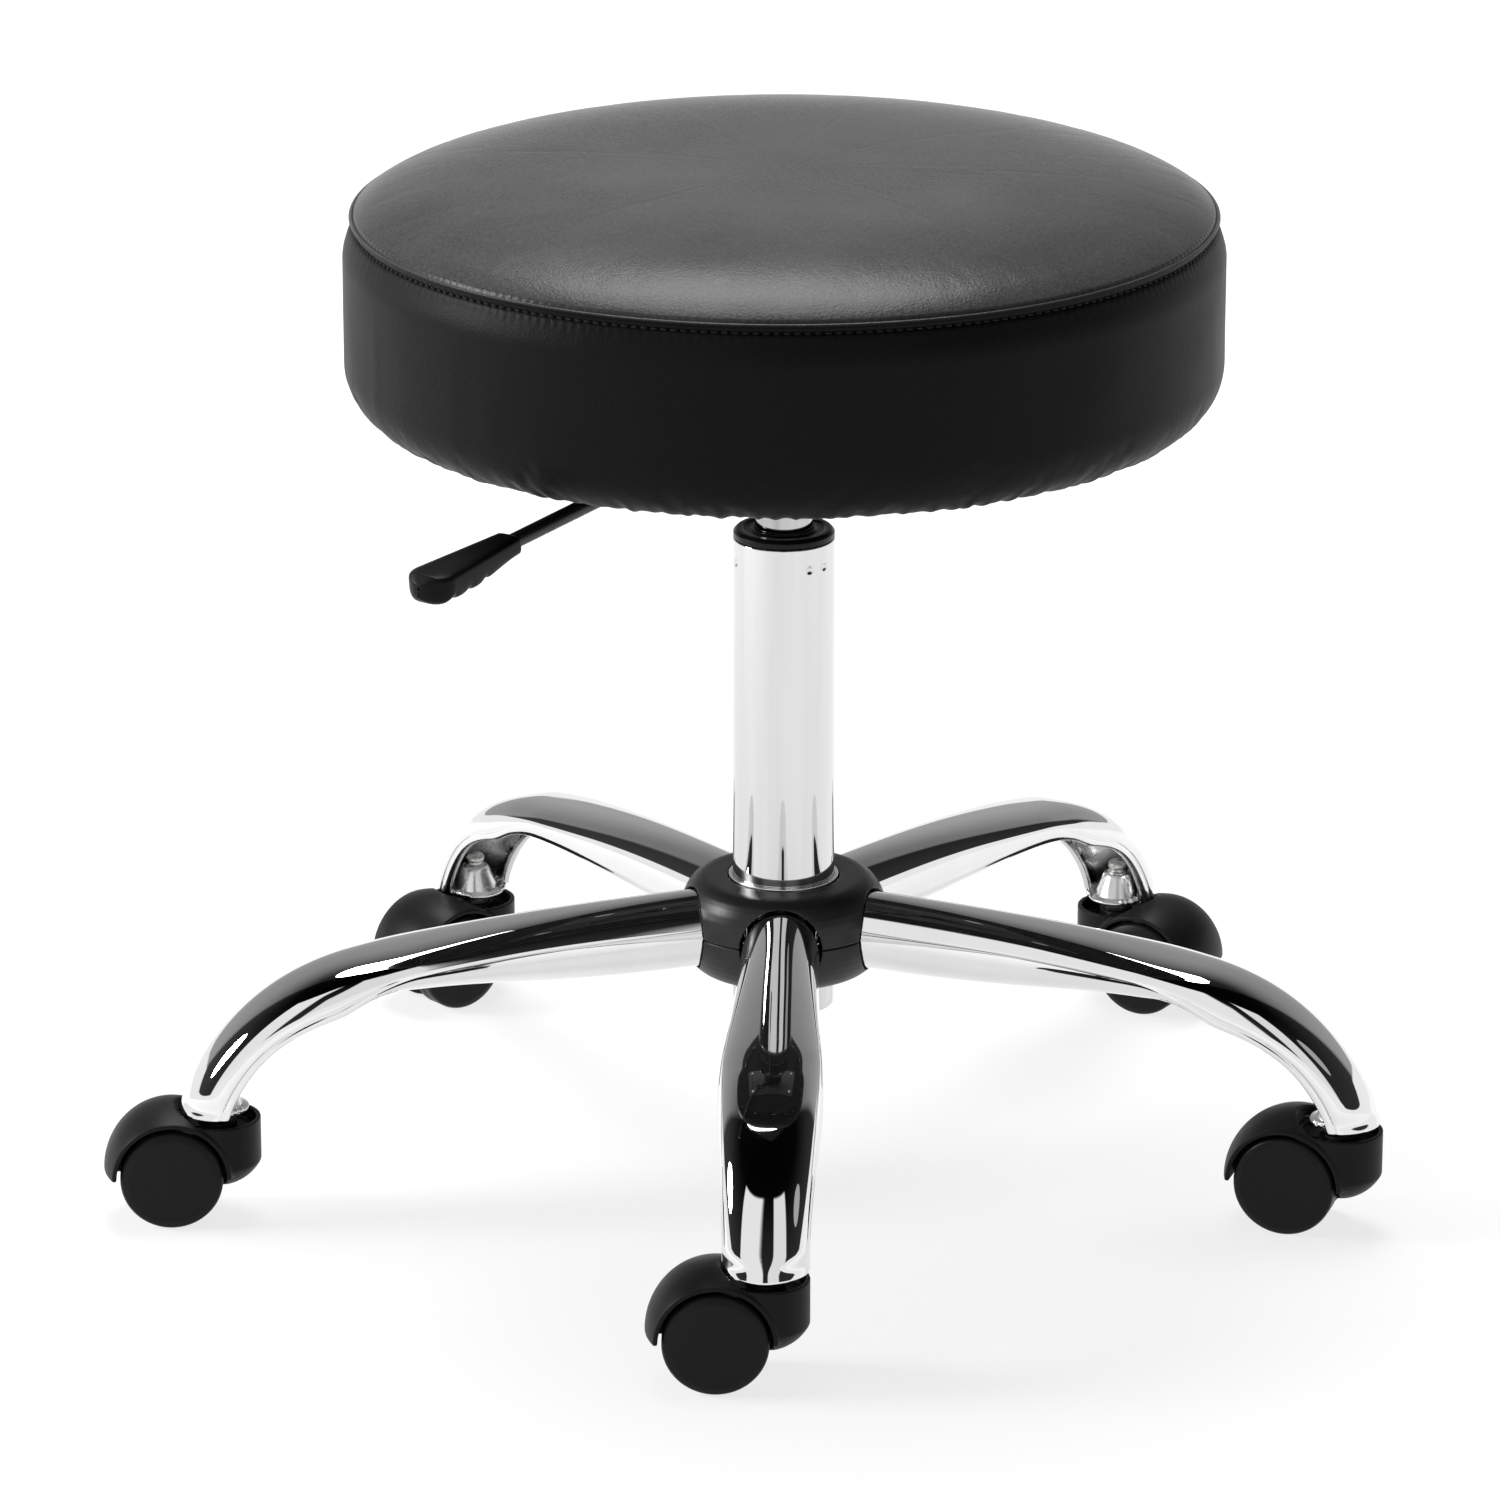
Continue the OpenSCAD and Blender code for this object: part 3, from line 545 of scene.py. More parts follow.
@dataclass(frozen=True)
class Vinyl(Coat):
    """Upholstery vinyl: pebbled leather grain with fine creases, soft mottling, a dull sheen, and a ring
    of needle holes along the sewn edge of the side panel, dented and coloured near-black as painted shade.
    The top panel, above a height, is coloured paler than the side panel as painted light from above, and
    is smoother."""

    dark: float = 0.0028
    pale: float = 0.0060
    rough: float = 0.47
    # Painted light: how many times paler the top panel is coloured than the side panel.
    painted_top_light: float = 12.0
    smoothed: float = 0.58
    shine: float = 0.10
    top_h: float = 483.5
    holes: int = 275
    row_h: float = 479.6

    def needle_holes(self, pad: NodePad, x: Socket, y: Socket, z: Socket) -> Socket:
        """1 in a needle hole and 0 elsewhere: a cosine of the angle about the axis, times the number of
        holes, times a band about the row's height.

        Args:
            pad: The material's nodes.
            x: The place's first coordinate.
            y: The second.
            z: The third.

        Returns:
            The mask.
        """
        wave = pad.math("COSINE", pad.math("MULTIPLY", pad.math("ARCTAN2", y, x), float(self.holes)))
        off = pad.math("ABSOLUTE", pad.math("SUBTRACT", z, self.row_h * MM))
        band = pad.spread(off, 1.0, 0.0, 0.45 * MM, 0.9 * MM)
        return pad.math("MULTIPLY", band, pad.spread(wave, 0.0, 1.0, -0.05, 0.45))

    def above_seam(self, pad: NodePad, z: Socket, level: float) -> Socket:
        """1 on the side panel and `level` on the top panel."""
        return pad.spread(z, 1.0, level, (self.top_h - 0.3) * MM, (self.top_h + 0.3) * MM)

    def inputs(self, pad: NodePad) -> Inputs:
        """Colour from the mottling, paler on the top panel as painted light and near-black in the needle
        holes as painted shade; roughness from the mottling and the panel; normal from grain, creases and
        holes.

        Args:
            pad: The material's nodes.

        Returns:
            Values and sockets by input.
        """
        x, y, z = pad.add("SeparateXYZ", {"Vector": pad.place}).outputs
        mottle = pad.spread(Noise(15.0, 3.0).on(pad), 0.34, 0.66, 0.15, 0.85)
        speck = pad.spread(Noise(640.0, 3.0, 0.6).on(pad), 0.78, 1.22, 0.35, 0.65)
        holes = self.needle_holes(pad, x, y, z)
        # Painted light: the top panel's colour is made many times paler than the side's, as if lit from
        # above, times the fine specks.
        painted_light_and_speck = pad.math("MULTIPLY", self.above_seam(pad, z, self.painted_top_light), speck)
        dull = pad.math("MULTIPLY", pad.spread(mottle, self.rough * 0.85, self.rough * 1.2),
                        self.above_seam(pad, z, self.smoothed))
        soft = pad.bump(Noise(60.0, 3.0).on(pad), 0.04)
        creased = pad.bump(pad.cells(210.0, "DISTANCE_TO_EDGE"), 0.03, soft)
        grained = pad.bump(pad.cells(760.0), 0.07, creased)
        colour = pad.tone(mottle, self.dark, self.pale)
        tint = pad.add("VectorMath", {0: colour, "Scale": painted_light_and_speck}, operation="SCALE")
        # Painted shade: the needle holes are coloured near-black, standing in for the shade inside them, over
        # their dent in the normal.
        shades = {"Factor": holes, 6: tint.outputs[0], 7: (0.001, 0.001, 0.001, 1)}
        return {
            "Base Color": pad.add("Mix", shades, data_type="RGBA").outputs[2],
            "Roughness": pad.math("MAXIMUM", dull, holes),
            "Specular IOR Level": self.shine,
            "Sheen Weight": 0.06,
            "Sheen Roughness": 0.3,
            "Normal": pad.bump(pad.math("MULTIPLY", holes, -1.0), 0.5, grained),
        }


@dataclass(frozen=True)
class Steel(Coat):
    """Zinc-plated or bare steel: spangled grey metal with turning marks."""

    dark: float = 0.34
    pale: float = 0.52
    rough: float = 0.3

    def inputs(self, pad: NodePad) -> Inputs:
        """Colour from the spangle, roughness and normal from the marks.

        Args:
            pad: The material's nodes.

        Returns:
            Values and sockets by input.
        """
        marks = Noise(1400.0, 2.0, 0.5, (0.08, 0.08, 1.0)).on(pad)
        return {
            "Base Color": pad.tone(pad.cells(420.0), self.dark, self.pale, 0.02),
            "Metallic": 1.0,
            "Roughness": pad.spread(marks, self.rough * 0.8, self.rough * 1.4),
            "Normal": pad.bump(marks, 0.003),
        }


class Finish(Enum):
    """The finishes of this stool's pieces. No name is that of a slot, because the frame's nodes bring
    plain materials named after their slots."""

    ARM_CHROME = Chrome("chrome_of_arms", 0.81, 0.018, 0.012)
    CHANNEL_CHROME = Chrome("chrome_of_channels", 0.55, 0.20, 0.03)
    COLUMN_CHROME = Chrome("chrome_of_column", 0.71, 0.018, 0.004, 0.14)
    SOCKET_CHROME = Chrome("chrome_of_sockets", 0.78, 0.2, 0.006)
    CYLINDER_CHROME = Chrome("chrome_of_cylinder", 0.60, 0.03, 0.004, 0.5)
    WELD_CHROME = Chrome("chrome_of_welds", 0.70, 0.2, 0.12)
    STEEL = Steel("steel_bright")
    DARK_STEEL = Steel("steel_dark", 0.16, 0.26, 0.38)
    # Powder coat with orange peel.
    BLACK_STEEL = Matt("powder_coat_black", 0.009, 0.014, 0.306, 0.45, Noise(40.0, 4.0, 0.65), Noise(520.0),
                       0.03, 0.4)
    HUB = moulded("plastic_of_hub", 0.008, 0.013, 0.38, 0.008, 0.40)
    BUSH = moulded("plastic_of_bush", 0.005, 0.008, 0.34, 0.006, 0.20)
    GRIP = moulded("plastic_of_grip", 0.002, 0.003, 0.40, 0.008, 0.12)
    CASTER = moulded("plastic_of_casters", 0.007, 0.010, 0.44, 0.012, 0.14)
    WHEEL = moulded("plastic_of_wheels", 0.008, 0.011, 0.38, 0.008, 0.16)
    RUBBER = moulded("rubber_of_buffer", 0.012, 0.020, 0.70, 0.03, 0.20)
    VINYL = Vinyl("vinyl_of_seat")
    # Twisted strands; birch ply with its grain and plies; non-woven fibres pressed together in dots.
    THREAD = Matt("thread_of_seat", 0.0072, 0.018, 0.45, 0.7, Noise(3800.0), Noise(3800.0), 0.05, 0.35)
    PLY = Matt("plywood_of_board", 0.22, 0.46, 0.55, 0.75, Noise(14.0, 6.0, 0.6, (1.0, 22.0, 60.0)),
               Noise(14.0, 6.0, 0.6, (1.0, 22.0, 60.0)), 0.08, 0.5, 0.34)
    DUST = Matt("cloth_of_dust_cover", 0.008, 0.024, 0.8, 0.95, Noise(1500.0, 5.0, 0.7),
                Noise(1500.0, 5.0, 0.7), 0.05, 0.15, 0.0, 0.12)

    def made(self) -> bpy.types.Material:
        """The finish's material, built the first time that it is asked for."""
        return bpy.data.materials.get(self.value.name) or self.value.material()


def dress(made: Object, finish: Finish, body: str, slot: str, *stands_for: str) -> Object:
    """Gives a new piece its finish and body, and hides the nodes that it stands for.

    Args:
        made: The piece.
        finish: Its finish.
        body: The frame's body that it rides on.
        slot: The record's material slot; not used.
        stands_for: Nodes that it replaces.

    Returns:
        The same object.
    """
    made.data.materials.clear()
    made.data.materials.append(finish.made())
    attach(made, body)
    if stands_for:
        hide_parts(*stands_for)
    LOG.info("%s: %d faces in %s on %s", made.name, len(made.data.polygons), finish.value.name, body)
    return made


def dress_nodes(finish: Finish, *nodes: str) -> None:
    """Gives a finish to nodes of the frame that stay as they are.

    Args:
        finish: The finish.
        nodes: Names of the nodes.
    """
    for node in nodes:
        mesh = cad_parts[node].data
        mesh.materials.clear()
        mesh.materials.append(finish.made())
        mesh.polygons.foreach_set("material_index", np.zeros(len(mesh.polygons), np.int32))
        LOG.info("%s: kept, in %s", node, finish.value.name)


# ---- Base: arms, hub and column ----


@dataclass
class Arms:
    """Five arms, each a round tube pressed along its length into a wide channel that is open below."""

    turn: float = -1.6
    tube_d: float = 38.0
    wide_w: float = 49.8
    wide_past: float = 14.0
    end_w: float = 40.8
    channel_d: float = 20.4
    opening_at: float = 0.86
    opening_l: float = 52.0
    bend_r: float = 113.0
    slope: float = 8.5
    end_slope: float = 70.0
    crown_t: float = 3.2
    rim_t: float = 5.0
    start_r: float = 27.2
    end_r: float = 306.0
    end_h: float = 54.1
    rim_round: float = 1.2
    crown_power: float = 0.76
    widening_power: float = 1.4
    flattening_power: float = 1.5
    groove: float = 0.55
    groove_h: float = 4.4
    flare: float = 0.28
    flare_from: float = 0.86
    flare_l: float = 6.5
    end_l: float = 9.0
    end_clear: float = 4.2
    channel_from_r: float = 175.0
    rows: tuple[int, int, int] = (56, 52, 16)
    over_count: int = 73
    fold_count: int = 7
    under_count: int = 41

    def angle(self, number: int) -> float:
        """Direction of an arm, 1 to 5, in degrees from +X."""
        return -90.0 + self.turn + 72.0 * (number - 1)

    def surface(self) -> tuple[Array, Array, list[list[int]]]:
        """One arm along +X. The crown line is an arc of radius long_r that falls from level to `slope`,
        then an arc of radius bend_r down to `end_slope`. The section across it goes smoothly from an
        ellipse to a channel: a half-ellipse crown, two folded rims and a half-ellipse underside.
        The section's plane tips from square to the crown line to level at the end, where the crown is
        a plain half-ellipse again, so that the caster's hood turns clear of it.

        Returns:
            Points, faces and the two end caps.
        """
        a0, a1 = math.radians(self.slope), math.radians(self.end_slope)
        bend_start_r = self.end_r - self.bend_r * (math.sin(a1) - math.sin(a0))
        bend_start_h = self.end_h + self.bend_r * (math.cos(a0) - math.cos(a1))
        long_r = bend_start_r / math.sin(a0)
        top_h = bend_start_h + long_r * (1 - math.cos(a0))
        first = math.asin(self.start_r / long_r)
        long_l = long_r * (a0 - first)
        whole_l = long_l + self.bend_r * (a1 - a0)
        wide_at = long_l + self.wide_past
        length = np.concatenate([
            np.linspace(0.0, long_l, self.rows[0], endpoint=False),
            np.linspace(long_l, whole_l - self.end_l, self.rows[1], endpoint=False),
            np.linspace(whole_l - self.end_l, whole_l - self.rim_round, self.rows[2]),
        ])[:, None]
        straight = length < long_l
        a = np.where(straight, first + length / long_r, a0 + (length - long_l) / self.bend_r)
        crown_r = np.where(straight, long_r * np.sin(a),
                           bend_start_r + self.bend_r * (np.sin(a) - math.sin(a0)))
        crown_h = np.where(straight, top_h - long_r * (1 - np.cos(a)),
                           bend_start_h - self.bend_r * (math.cos(a0) - np.cos(a)))
        narrowing = smooth_step((whole_l - length) / (whole_l - wide_at))
        widening = smooth_step((length / wide_at) ** self.widening_power)
        width = np.where(length < wide_at, mix(self.tube_d, self.wide_w, widening),
                         mix(self.end_w, self.wide_w, narrowing))
        flattening = smooth_step((length / long_l) ** self.flattening_power)
        depth = mix(self.tube_d, self.channel_d, flattening)
        opening = smooth_step((length - long_l * self.opening_at) / self.opening_l)
        tilt = mix(a, math.pi / 2, smooth_step((a - a0) / (a1 - a0)))
        from_end = whole_l - length
        full = smooth_step(length / long_l * 1.6) * smooth_step((from_end - self.end_clear) / self.end_l)
        side, down = self.section(width, depth, opening, mix(1.0, self.crown_power, full))
        outer = np.hypot(side / (width / 2), 1 + down / depth) > self.flare_from
        flare = self.flare * smooth_step((self.flare_l + 1.0 - from_end) / self.flare_l) * outer
        side = side * (1 + flare / (width / 2))
        down = down + flare * np.clip(1 + down / depth, 0, 1)
        points = xyz(crown_r + down * np.sin(tilt), side, crown_h + down * np.cos(tilt))
        points = np.concatenate([points, self.rounded_end(points[-1])])
        rows, cols = points.shape[:2]
        return *skin(points), [list(range(cols)), list(range((rows - 1) * cols, rows * cols))]

    def section(self, width: Array, depth: Array, opening: Array, power: Array) -> tuple[Array, Array]:
        """Section of the arm: sideways and down from the crown, between tube and channel. The crown is
        the curve (cos^p, sin^p), an ellipse for p = 1 and flatter on top with fuller shoulders below 1.
        The sheet is folded on itself along the edge, with a groove above the rim.

        Args:
            width: Width at each station.
            depth: Depth at each station.
            opening: 0 for the tube to 1 for the open channel.
            power: The crown's p at each station.

        Returns:
            Two arrays (stations, points).
        """
        s = np.linspace(0.0, 1.0, self.over_count)
        over = np.pi * (s - 0.12 * np.sin(TURN * s))
        across = np.sign(np.cos(over)) * np.abs(np.cos(over)) ** power
        upward = np.abs(np.sin(over)) ** power
        fold = np.linspace(0.0, np.pi, self.fold_count + 2)[1:-1]
        under = np.linspace(np.pi, 0.0, self.under_count)
        rest = np.linspace(np.pi, TURN, 2 * self.fold_count + self.under_count + 2)[1:-1]
        tube_x = width / 2 * np.concatenate([across, np.cos(rest) + 0 * power], axis=1)
        tube_z = depth / 2 * (np.concatenate([upward, np.sin(rest) + 0 * power], axis=1) - 1)
        half, rim, lift = width / 2, self.rim_t / 2, self.rim_round
        crown_z = -depth + lift + (depth - lift) * upward
        groove = self.groove * bell(crown_z + depth - self.groove_h, 0.85) * (np.abs(across) > 0.6)
        edge_x, edge_z = rim * np.cos(fold), -depth + lift - lift * np.sin(fold)
        under_z = -depth + lift + (depth - lift - self.crown_t) * np.sin(under)
        under_x = (half - 2 * rim) * np.cos(under)
        crown_x, wall = (half - groove) * across, half - rim
        x = np.concatenate([crown_x, -wall - edge_x, under_x, wall - edge_x], axis=1)
        z = np.concatenate([crown_z, edge_z, under_z, edge_z], axis=1)
        return mix(tube_x, x, opening), mix(tube_z, z, opening)

    def rounded_end(self, last: Array) -> Array:
        """Rings that round the cut end: the section goes towards the middle of its wall by 1 - cos, and
        down and a little outwards by sin, of three angles.

        Args:
            last: The last ring, (points, 3).

        Returns:
            Array (rings, points, 3).
        """
        over, under = np.linspace(0, 1, self.over_count), np.linspace(0, 1, self.under_count)
        start = self.over_count + self.fold_count
        below = last[start:start + self.under_count]
        middle = (last[:self.over_count] + np.stack([np.interp(over, under, k) for k in below.T], -1)) / 2
        back = np.stack([np.interp(under, over, k) for k in middle.T], -1)
        first_fold, last_fold = (np.repeat(middle[[k]], self.fold_count, 0) for k in (-1, 0))
        centre = np.concatenate([middle, first_fold, back, last_fold])
        phi = np.radians([25.0, 50.0, 72.0])[:, None, None]
        fall = np.array([0.34, 0.0, -1.0]) * self.rim_round
        return mix(last[None], centre[None], 1 - np.cos(phi)) + fall * np.sin(phi)

    def inside(self, mesh: bpy.types.Mesh) -> Array:
        """Picks the faces in the channel, whose plating is dull: those that look down and inwards and lie
        beyond the tube.

        Args:
            mesh: The arm's mesh.

        Returns:
            1 or 0 for each face.
        """
        centre, normal = read(mesh.polygons, "center") / MM, read(mesh.polygons, "normal")
        away = np.hypot(centre[:, 0], centre[:, 1])
        outward = (centre[:, :2] * normal[:, :2]).sum(1) / np.maximum(away, 1)
        return ((away > self.channel_from_r) & (outward < -0.1) & (normal[:, 2] < -0.12)).astype(np.int32)

    def build(self) -> None:
        """Builds and dresses the five arms."""
        points, quads, caps = self.surface()
        for number in range(1, 6):
            made = piece(f"arm_{number}_chromed", (turn_z(points, self.angle(number)), quads), caps, 50.0)
            dress(made, Finish.ARM_CHROME, "base", "arm_chrome", f"arm_{number}")
            made.data.materials.append(Finish.CHANNEL_CHROME.made())
            made.data.polygons.foreach_set("material_index", self.inside(made.data))


@dataclass
class StemSockets:
    """Flanged cones welded into the arm ends, with the casters' stems through them."""

    arms: Arms
    circle_r: float = 286.6
    stem_r: float = 5.5
    flange_h: float = 54.1
    cone_h: float = 14.6
    stem_bottom_h: float = 20.0
    boss_h: float = 49.4
    bead_r: float = 14.5
    bead_t: float = 1.75

    def at_arms(self, surface: Surface) -> Surface:
        """Copies a surface, given about one stem's axis with +X outwards, to the five stems."""
        moved = surface[0] + np.array([self.circle_r, 0.0, 0.0])
        return repeated(np.stack([turn_z(moved, self.arms.angle(i)) for i in range(1, 6)]), surface[1])

    def beads(self, seed: int) -> Array:
        """Two weld beads beside the flange: each is a rope along an arc, whose radius ripples with the
        arc and whose ends taper to nothing.

        Args:
            seed: Number of the arm, which picks the ripples.

        Returns:
            Rings (beads, rings, points, 3) at that arm's end.
        """
        rng = np.random.default_rng(seed)
        beads = []
        for side in (90.0, -90.0):
            s = np.linspace(0.0, 1.0, 70)[:, None]
            a = np.radians(side + mix(-52.0, 50.0, s) + 3.0 * np.sin(9 * s + seed))
            ripple = 1 + 0.16 * np.sin(s * 62 + rng.uniform(0, 6)) + 0.12 * np.sin(s * 23 + rng.uniform(0, 6))
            thick = self.bead_t * ripple * np.sqrt(np.clip(1 - (2 * s - 1) ** 6, 0, 1))
            phi = around(14)[None]
            r = self.bead_r + 0.35 * np.sin(s * 17 + rng.uniform(0, 6)) + thick * np.cos(phi)
            z = self.flange_h + 2.6 + 0.3 * np.sin(s * 13 + seed) + thick * np.sin(phi)
            beads.append(xyz(self.circle_r + r * np.cos(a), r * np.sin(a), z))
        return turn_z(np.stack(beads), self.arms.angle(seed))

    def build(self) -> None:
        """Builds sockets, welds and stems."""
        r, top = self.stem_r, self.cone_h
        cone = turned([
            [r + FIT, FIT], [14.1, FIT], [15.1, 1.0], [15.1, 2.0], [11.7, 3.0],
            [r + 2.2, top - 1.2], [r + 1.2, top], [r + FIT, top],
        ], self.flange_h, 0.6, 3, 64)
        made = piece("stem_sockets_chromed", self.at_arms(cone))
        dress(made, Finish.SOCKET_CHROME, "base", "socket_chrome", "stem_sockets")
        beads = np.concatenate([self.beads(i) for i in range(1, 6)])
        made = piece("socket_welds", repeated(beads.reshape(10, -1, 3), ring_quads(*beads.shape[1:3])))
        dress(made, Finish.WELD_CHROME, "base", "socket_chrome")
        foot, boss = self.stem_bottom_h - self.flange_h, self.boss_h - self.flange_h
        stem = turned([
            [0.0, foot], [r, foot], [r, boss], [r + 3, boss], [r + 3, 0.0], [r, 0.0], [r, top + 0.6],
            [4.3, top + 0.9], [4.4, top + 2.6], [5.0, top + 3.0], [5.0, top + 5.0], [3.9, top + 6.2],
            [0.0, top + 6.4],
        ], self.flange_h, 0.5, 3, 48, False)
        made = piece("caster_stems_turned", self.at_arms(stem))
        dress(made, Finish.STEEL, "base", "raw_steel", "caster_stems")


@dataclass
class Hub:
    """Steel sleeve of the base and its two moulded covers, with an arch over each arm."""

    centre_h: float = 123.801
    sleeve_r: float = 27.0
    bore_r: float = 25.05
    half: float = 24.6

    def build(self) -> None:
        """Builds the sleeve and softens the covers' edges."""
        corners = [[self.bore_r, -self.half], [self.sleeve_r, -self.half], [self.sleeve_r, self.half],
                   [self.bore_r, self.half]]
        made = piece("hub_sleeve_chromed", turned(corners, self.centre_h, 0.7, 5, 160))
        dress(made, Finish.SOCKET_CHROME, "base", "socket_chrome", "hub_sleeve")
        for cover in ("hub_cover_upper", "hub_cover_lower"):
            made = softened_copy(f"{cover}_moulded", cover, 0.5, 9, 0.36)
            dress(made, Finish.HUB, "base", "hub_plastic", cover)


@dataclass
class Column:
    """Chromed column tube with crimped dents below its rim, and the black guide bush in its mouth."""

    radius: float = 25.0
    wall: float = 2.0
    bottom_h: float = 81.2
    top_h: float = 321.0
    collar_h: float = 4.5
    bush_l: float = 62.0
    bore_r: float = 14.05
    dent_r: float = 3.0
    dent_depth: float = 0.9
    dent_below: float = 11.0
    dent_angles: tuple[float, ...] = (-60.0, -39.0, 60.0, 81.0, 180.0, 201.0)

    def tube(self) -> Surface:
        """Revolved tube whose outer wall is pushed in where the crimping punch, a ball whose centre lies
        outside the wall, cuts it: by sqrt(R^2 - d^2) - (R - depth) at distance d from a dent's middle,
        with a soft edge.

        Returns:
            Points and faces.
        """
        low, high, out, inner = self.bottom_h, self.top_h, self.radius, self.radius - self.wall
        outer_z = np.concatenate([
            np.linspace(low + 1, high - 16, 60), np.linspace(high - 15.6, high - 1, 40),
        ])
        arc = np.radians(np.linspace(0, 90, 7))
        outline = np.concatenate([
            xyz(out, outer_z),
            xyz(out - 1 + np.cos(arc), high - 1 + np.sin(arc)),
            [[inner + 0.4, high], [inner, high - 0.4], [inner, low + 0.4], [inner + 0.4, low]],
            xyz(out - 1 + np.sin(arc), low + 1 - np.cos(arc)),
        ])
        points, quads = revolve(outline, 512)
        wall = points.reshape(len(outline), -1, 3)[:len(outer_z)]
        a = np.arctan2(wall[..., 1], wall[..., 0])
        for place in self.dent_angles:
            off = (a - math.radians(place) + np.pi) % TURN - np.pi
            d2 = (off * out) ** 2 + (wall[..., 2] - (high - self.dent_below)) ** 2
            depth = np.sqrt(np.clip(self.dent_r**2 - d2, 0, None)) - (self.dent_r - self.dent_depth)
            soft = np.log1p(np.exp(np.clip(depth * 14, -30, 30))) / 14
            wall[..., :2] *= (1 - soft / out)[..., None]
        return points, quads

    def build(self) -> None:
        """Builds tube and bush."""
        made = piece("column_tube_chromed", self.tube())
        dress(made, Finish.COLUMN_CHROME, "base", "column_chrome", "column_tube")
        collar, inner = self.radius - 0.3, self.radius - self.wall - FIT
        bore, top = self.bore_r, self.collar_h
        bush = turned([
            [bore, -self.bush_l], [inner, -self.bush_l], [inner, 0.2], [collar, 0.2], [collar, top - 1.6],
            [collar - 1.6, top], [collar - 4.4, top], [collar - 5.0, top - 0.8], [bore + 2.2, top - 0.8],
            [bore + 1.6, top], [bore + 0.8, top], [bore, top - 1],
        ], self.top_h, 0.45, 4, 160)
        dress(piece("column_bush_moulded", bush), Finish.BUSH, "base", "bush_plastic", "column_bush")


# ---- Gas lift and seat mount ----


@dataclass
class GasLift:
    """Chromed gas cylinder, with the rod, bearing and buffer that stand in the column."""

    radius: float = 14.0
    bottom_h: float = 103.6
    cone_h: float = 344.0
    top_h: float = 371.23
    taper_r: float = 12.9
    pin_bore_r: float = 3.05
    pin_bore_l: float = 21.0

    def build(self) -> None:
        """Builds the cylinder and dresses the inner pieces."""
        low, top, bore = self.bottom_h, self.top_h, self.pin_bore_r
        cylinder = turned([
            [0.0, low], [12.0, low], [self.radius, low + 2], [self.radius, self.cone_h],
            [self.taper_r, top - 1], [self.taper_r - 1, top], [bore, top], [bore, top - self.pin_bore_l],
            [0.0, top - self.pin_bore_l],
        ], 0.0, 0.6, 3, 160, False)
        made = piece("gas_cylinder_chromed", cylinder)
        dress(made, Finish.CYLINDER_CHROME, "seat", "column_chrome", "gas_cylinder")
        dress_nodes(Finish.STEEL, "piston_rod", "bearing_race_lower", "bearing_race_upper", "bearing_balls",
                    "rod_clip", "release_pin")
        dress_nodes(Finish.DARK_STEEL, "column_foot", "piston")
        dress_nodes(Finish.RUBBER, "rod_buffer")


@dataclass
class SeatMount:
    """Pressed plate, taper socket, lever bracket and screws under the board, with the dust cover."""

    plate_bottom_h: float = 384.0
    screw_pitch: float = 124.0
    head_r: float = 6.0
    head_h: float = 3.4
    slot_w: float = 0.75
    slot_l: float = 2.9
    slot_depth: float = 1.7

    def screw_head(self) -> Surface:
        """One pan head that faces down, as a disc whose height falls towards its edge as a quarter
        ellipse, with a cross recess: the greater of two soft slots, deepest in the middle.

        Returns:
            Points about the screw's axis and faces.
        """
        r = np.concatenate([np.linspace(0.0, 3.4, 18), np.linspace(3.7, self.head_r, 12)])[:, None]
        x, y = r * np.cos(around(72)), r * np.sin(around(72))
        slot = np.maximum(bell(x, self.slot_w) * (np.abs(y) < self.slot_l),
                          bell(y, self.slot_w) * (np.abs(x) < self.slot_l))
        drop = self.head_h * np.sqrt(np.clip(1 - (r / (self.head_r + 0.001)) ** 4, 0, 1))
        face = xyz(x, y, -(drop - self.slot_depth * slot * smooth_step((3.2 - r) / 0.8)))
        return skin(np.concatenate([face, xyz(x[-1:], y[-1:], 0.0)]))

    def build(self) -> None:
        """Builds and dresses the mount."""
        for node, width in (("seat_plate", 0.5), ("taper_socket", 0.5), ("lever_bracket", 0.4)):
            made = bevelled_copy(f"{node}_coated", node, width)
            dress(made, Finish.BLACK_STEEL, "seat", "black_steel", node)
        points, quads = self.screw_head()
        half = self.screw_pitch / 2
        places = [[[x, y, self.plate_bottom_h - 0.1]] for x in (-half, half) for y in (-half, half)]
        made = piece("plate_screw_heads", repeated(points + np.array(places), quads), sharp=60)
        dress(made, Finish.STEEL, "seat", "raw_steel")
        dress_nodes(Finish.STEEL, "plate_screws", "tee_nuts", "lever_pin", "cover_staples")
        dress_nodes(Finish.PLY, "seat_board")
        dress_nodes(Finish.DUST, "dust_cover")


# ---- Padded seat ----


@dataclass(frozen=True)
class Folds:
    """Folds round the cover: their depth in millimetres, their number, their least and greatest half-width
    in radians, and their seed."""

    depth: float
    count: int
    narrow: float
    wide: float
    seed: int

    def at(self, a: Array) -> Array:
        """A sum of bell curves at seeded places, with seeded widths and heights.

        Args:
            a: Angles about the axis.

        Returns:
            Height of the folds at each angle, from 0 to about 1.
        """
        rng = np.random.default_rng(self.seed)
        middle = (np.arange(self.count) + rng.uniform(-0.38, 0.38, self.count)) * TURN / self.count
        width = rng.uniform(self.narrow, self.wide, self.count)[:, None]
        height = rng.uniform(0.35, 1.0, self.count)[:, None]
        off = (a[None] - middle[:, None] + np.pi) % TURN - np.pi
        return np.clip((height * bell(off, width)).sum(0), 0, 1.3)


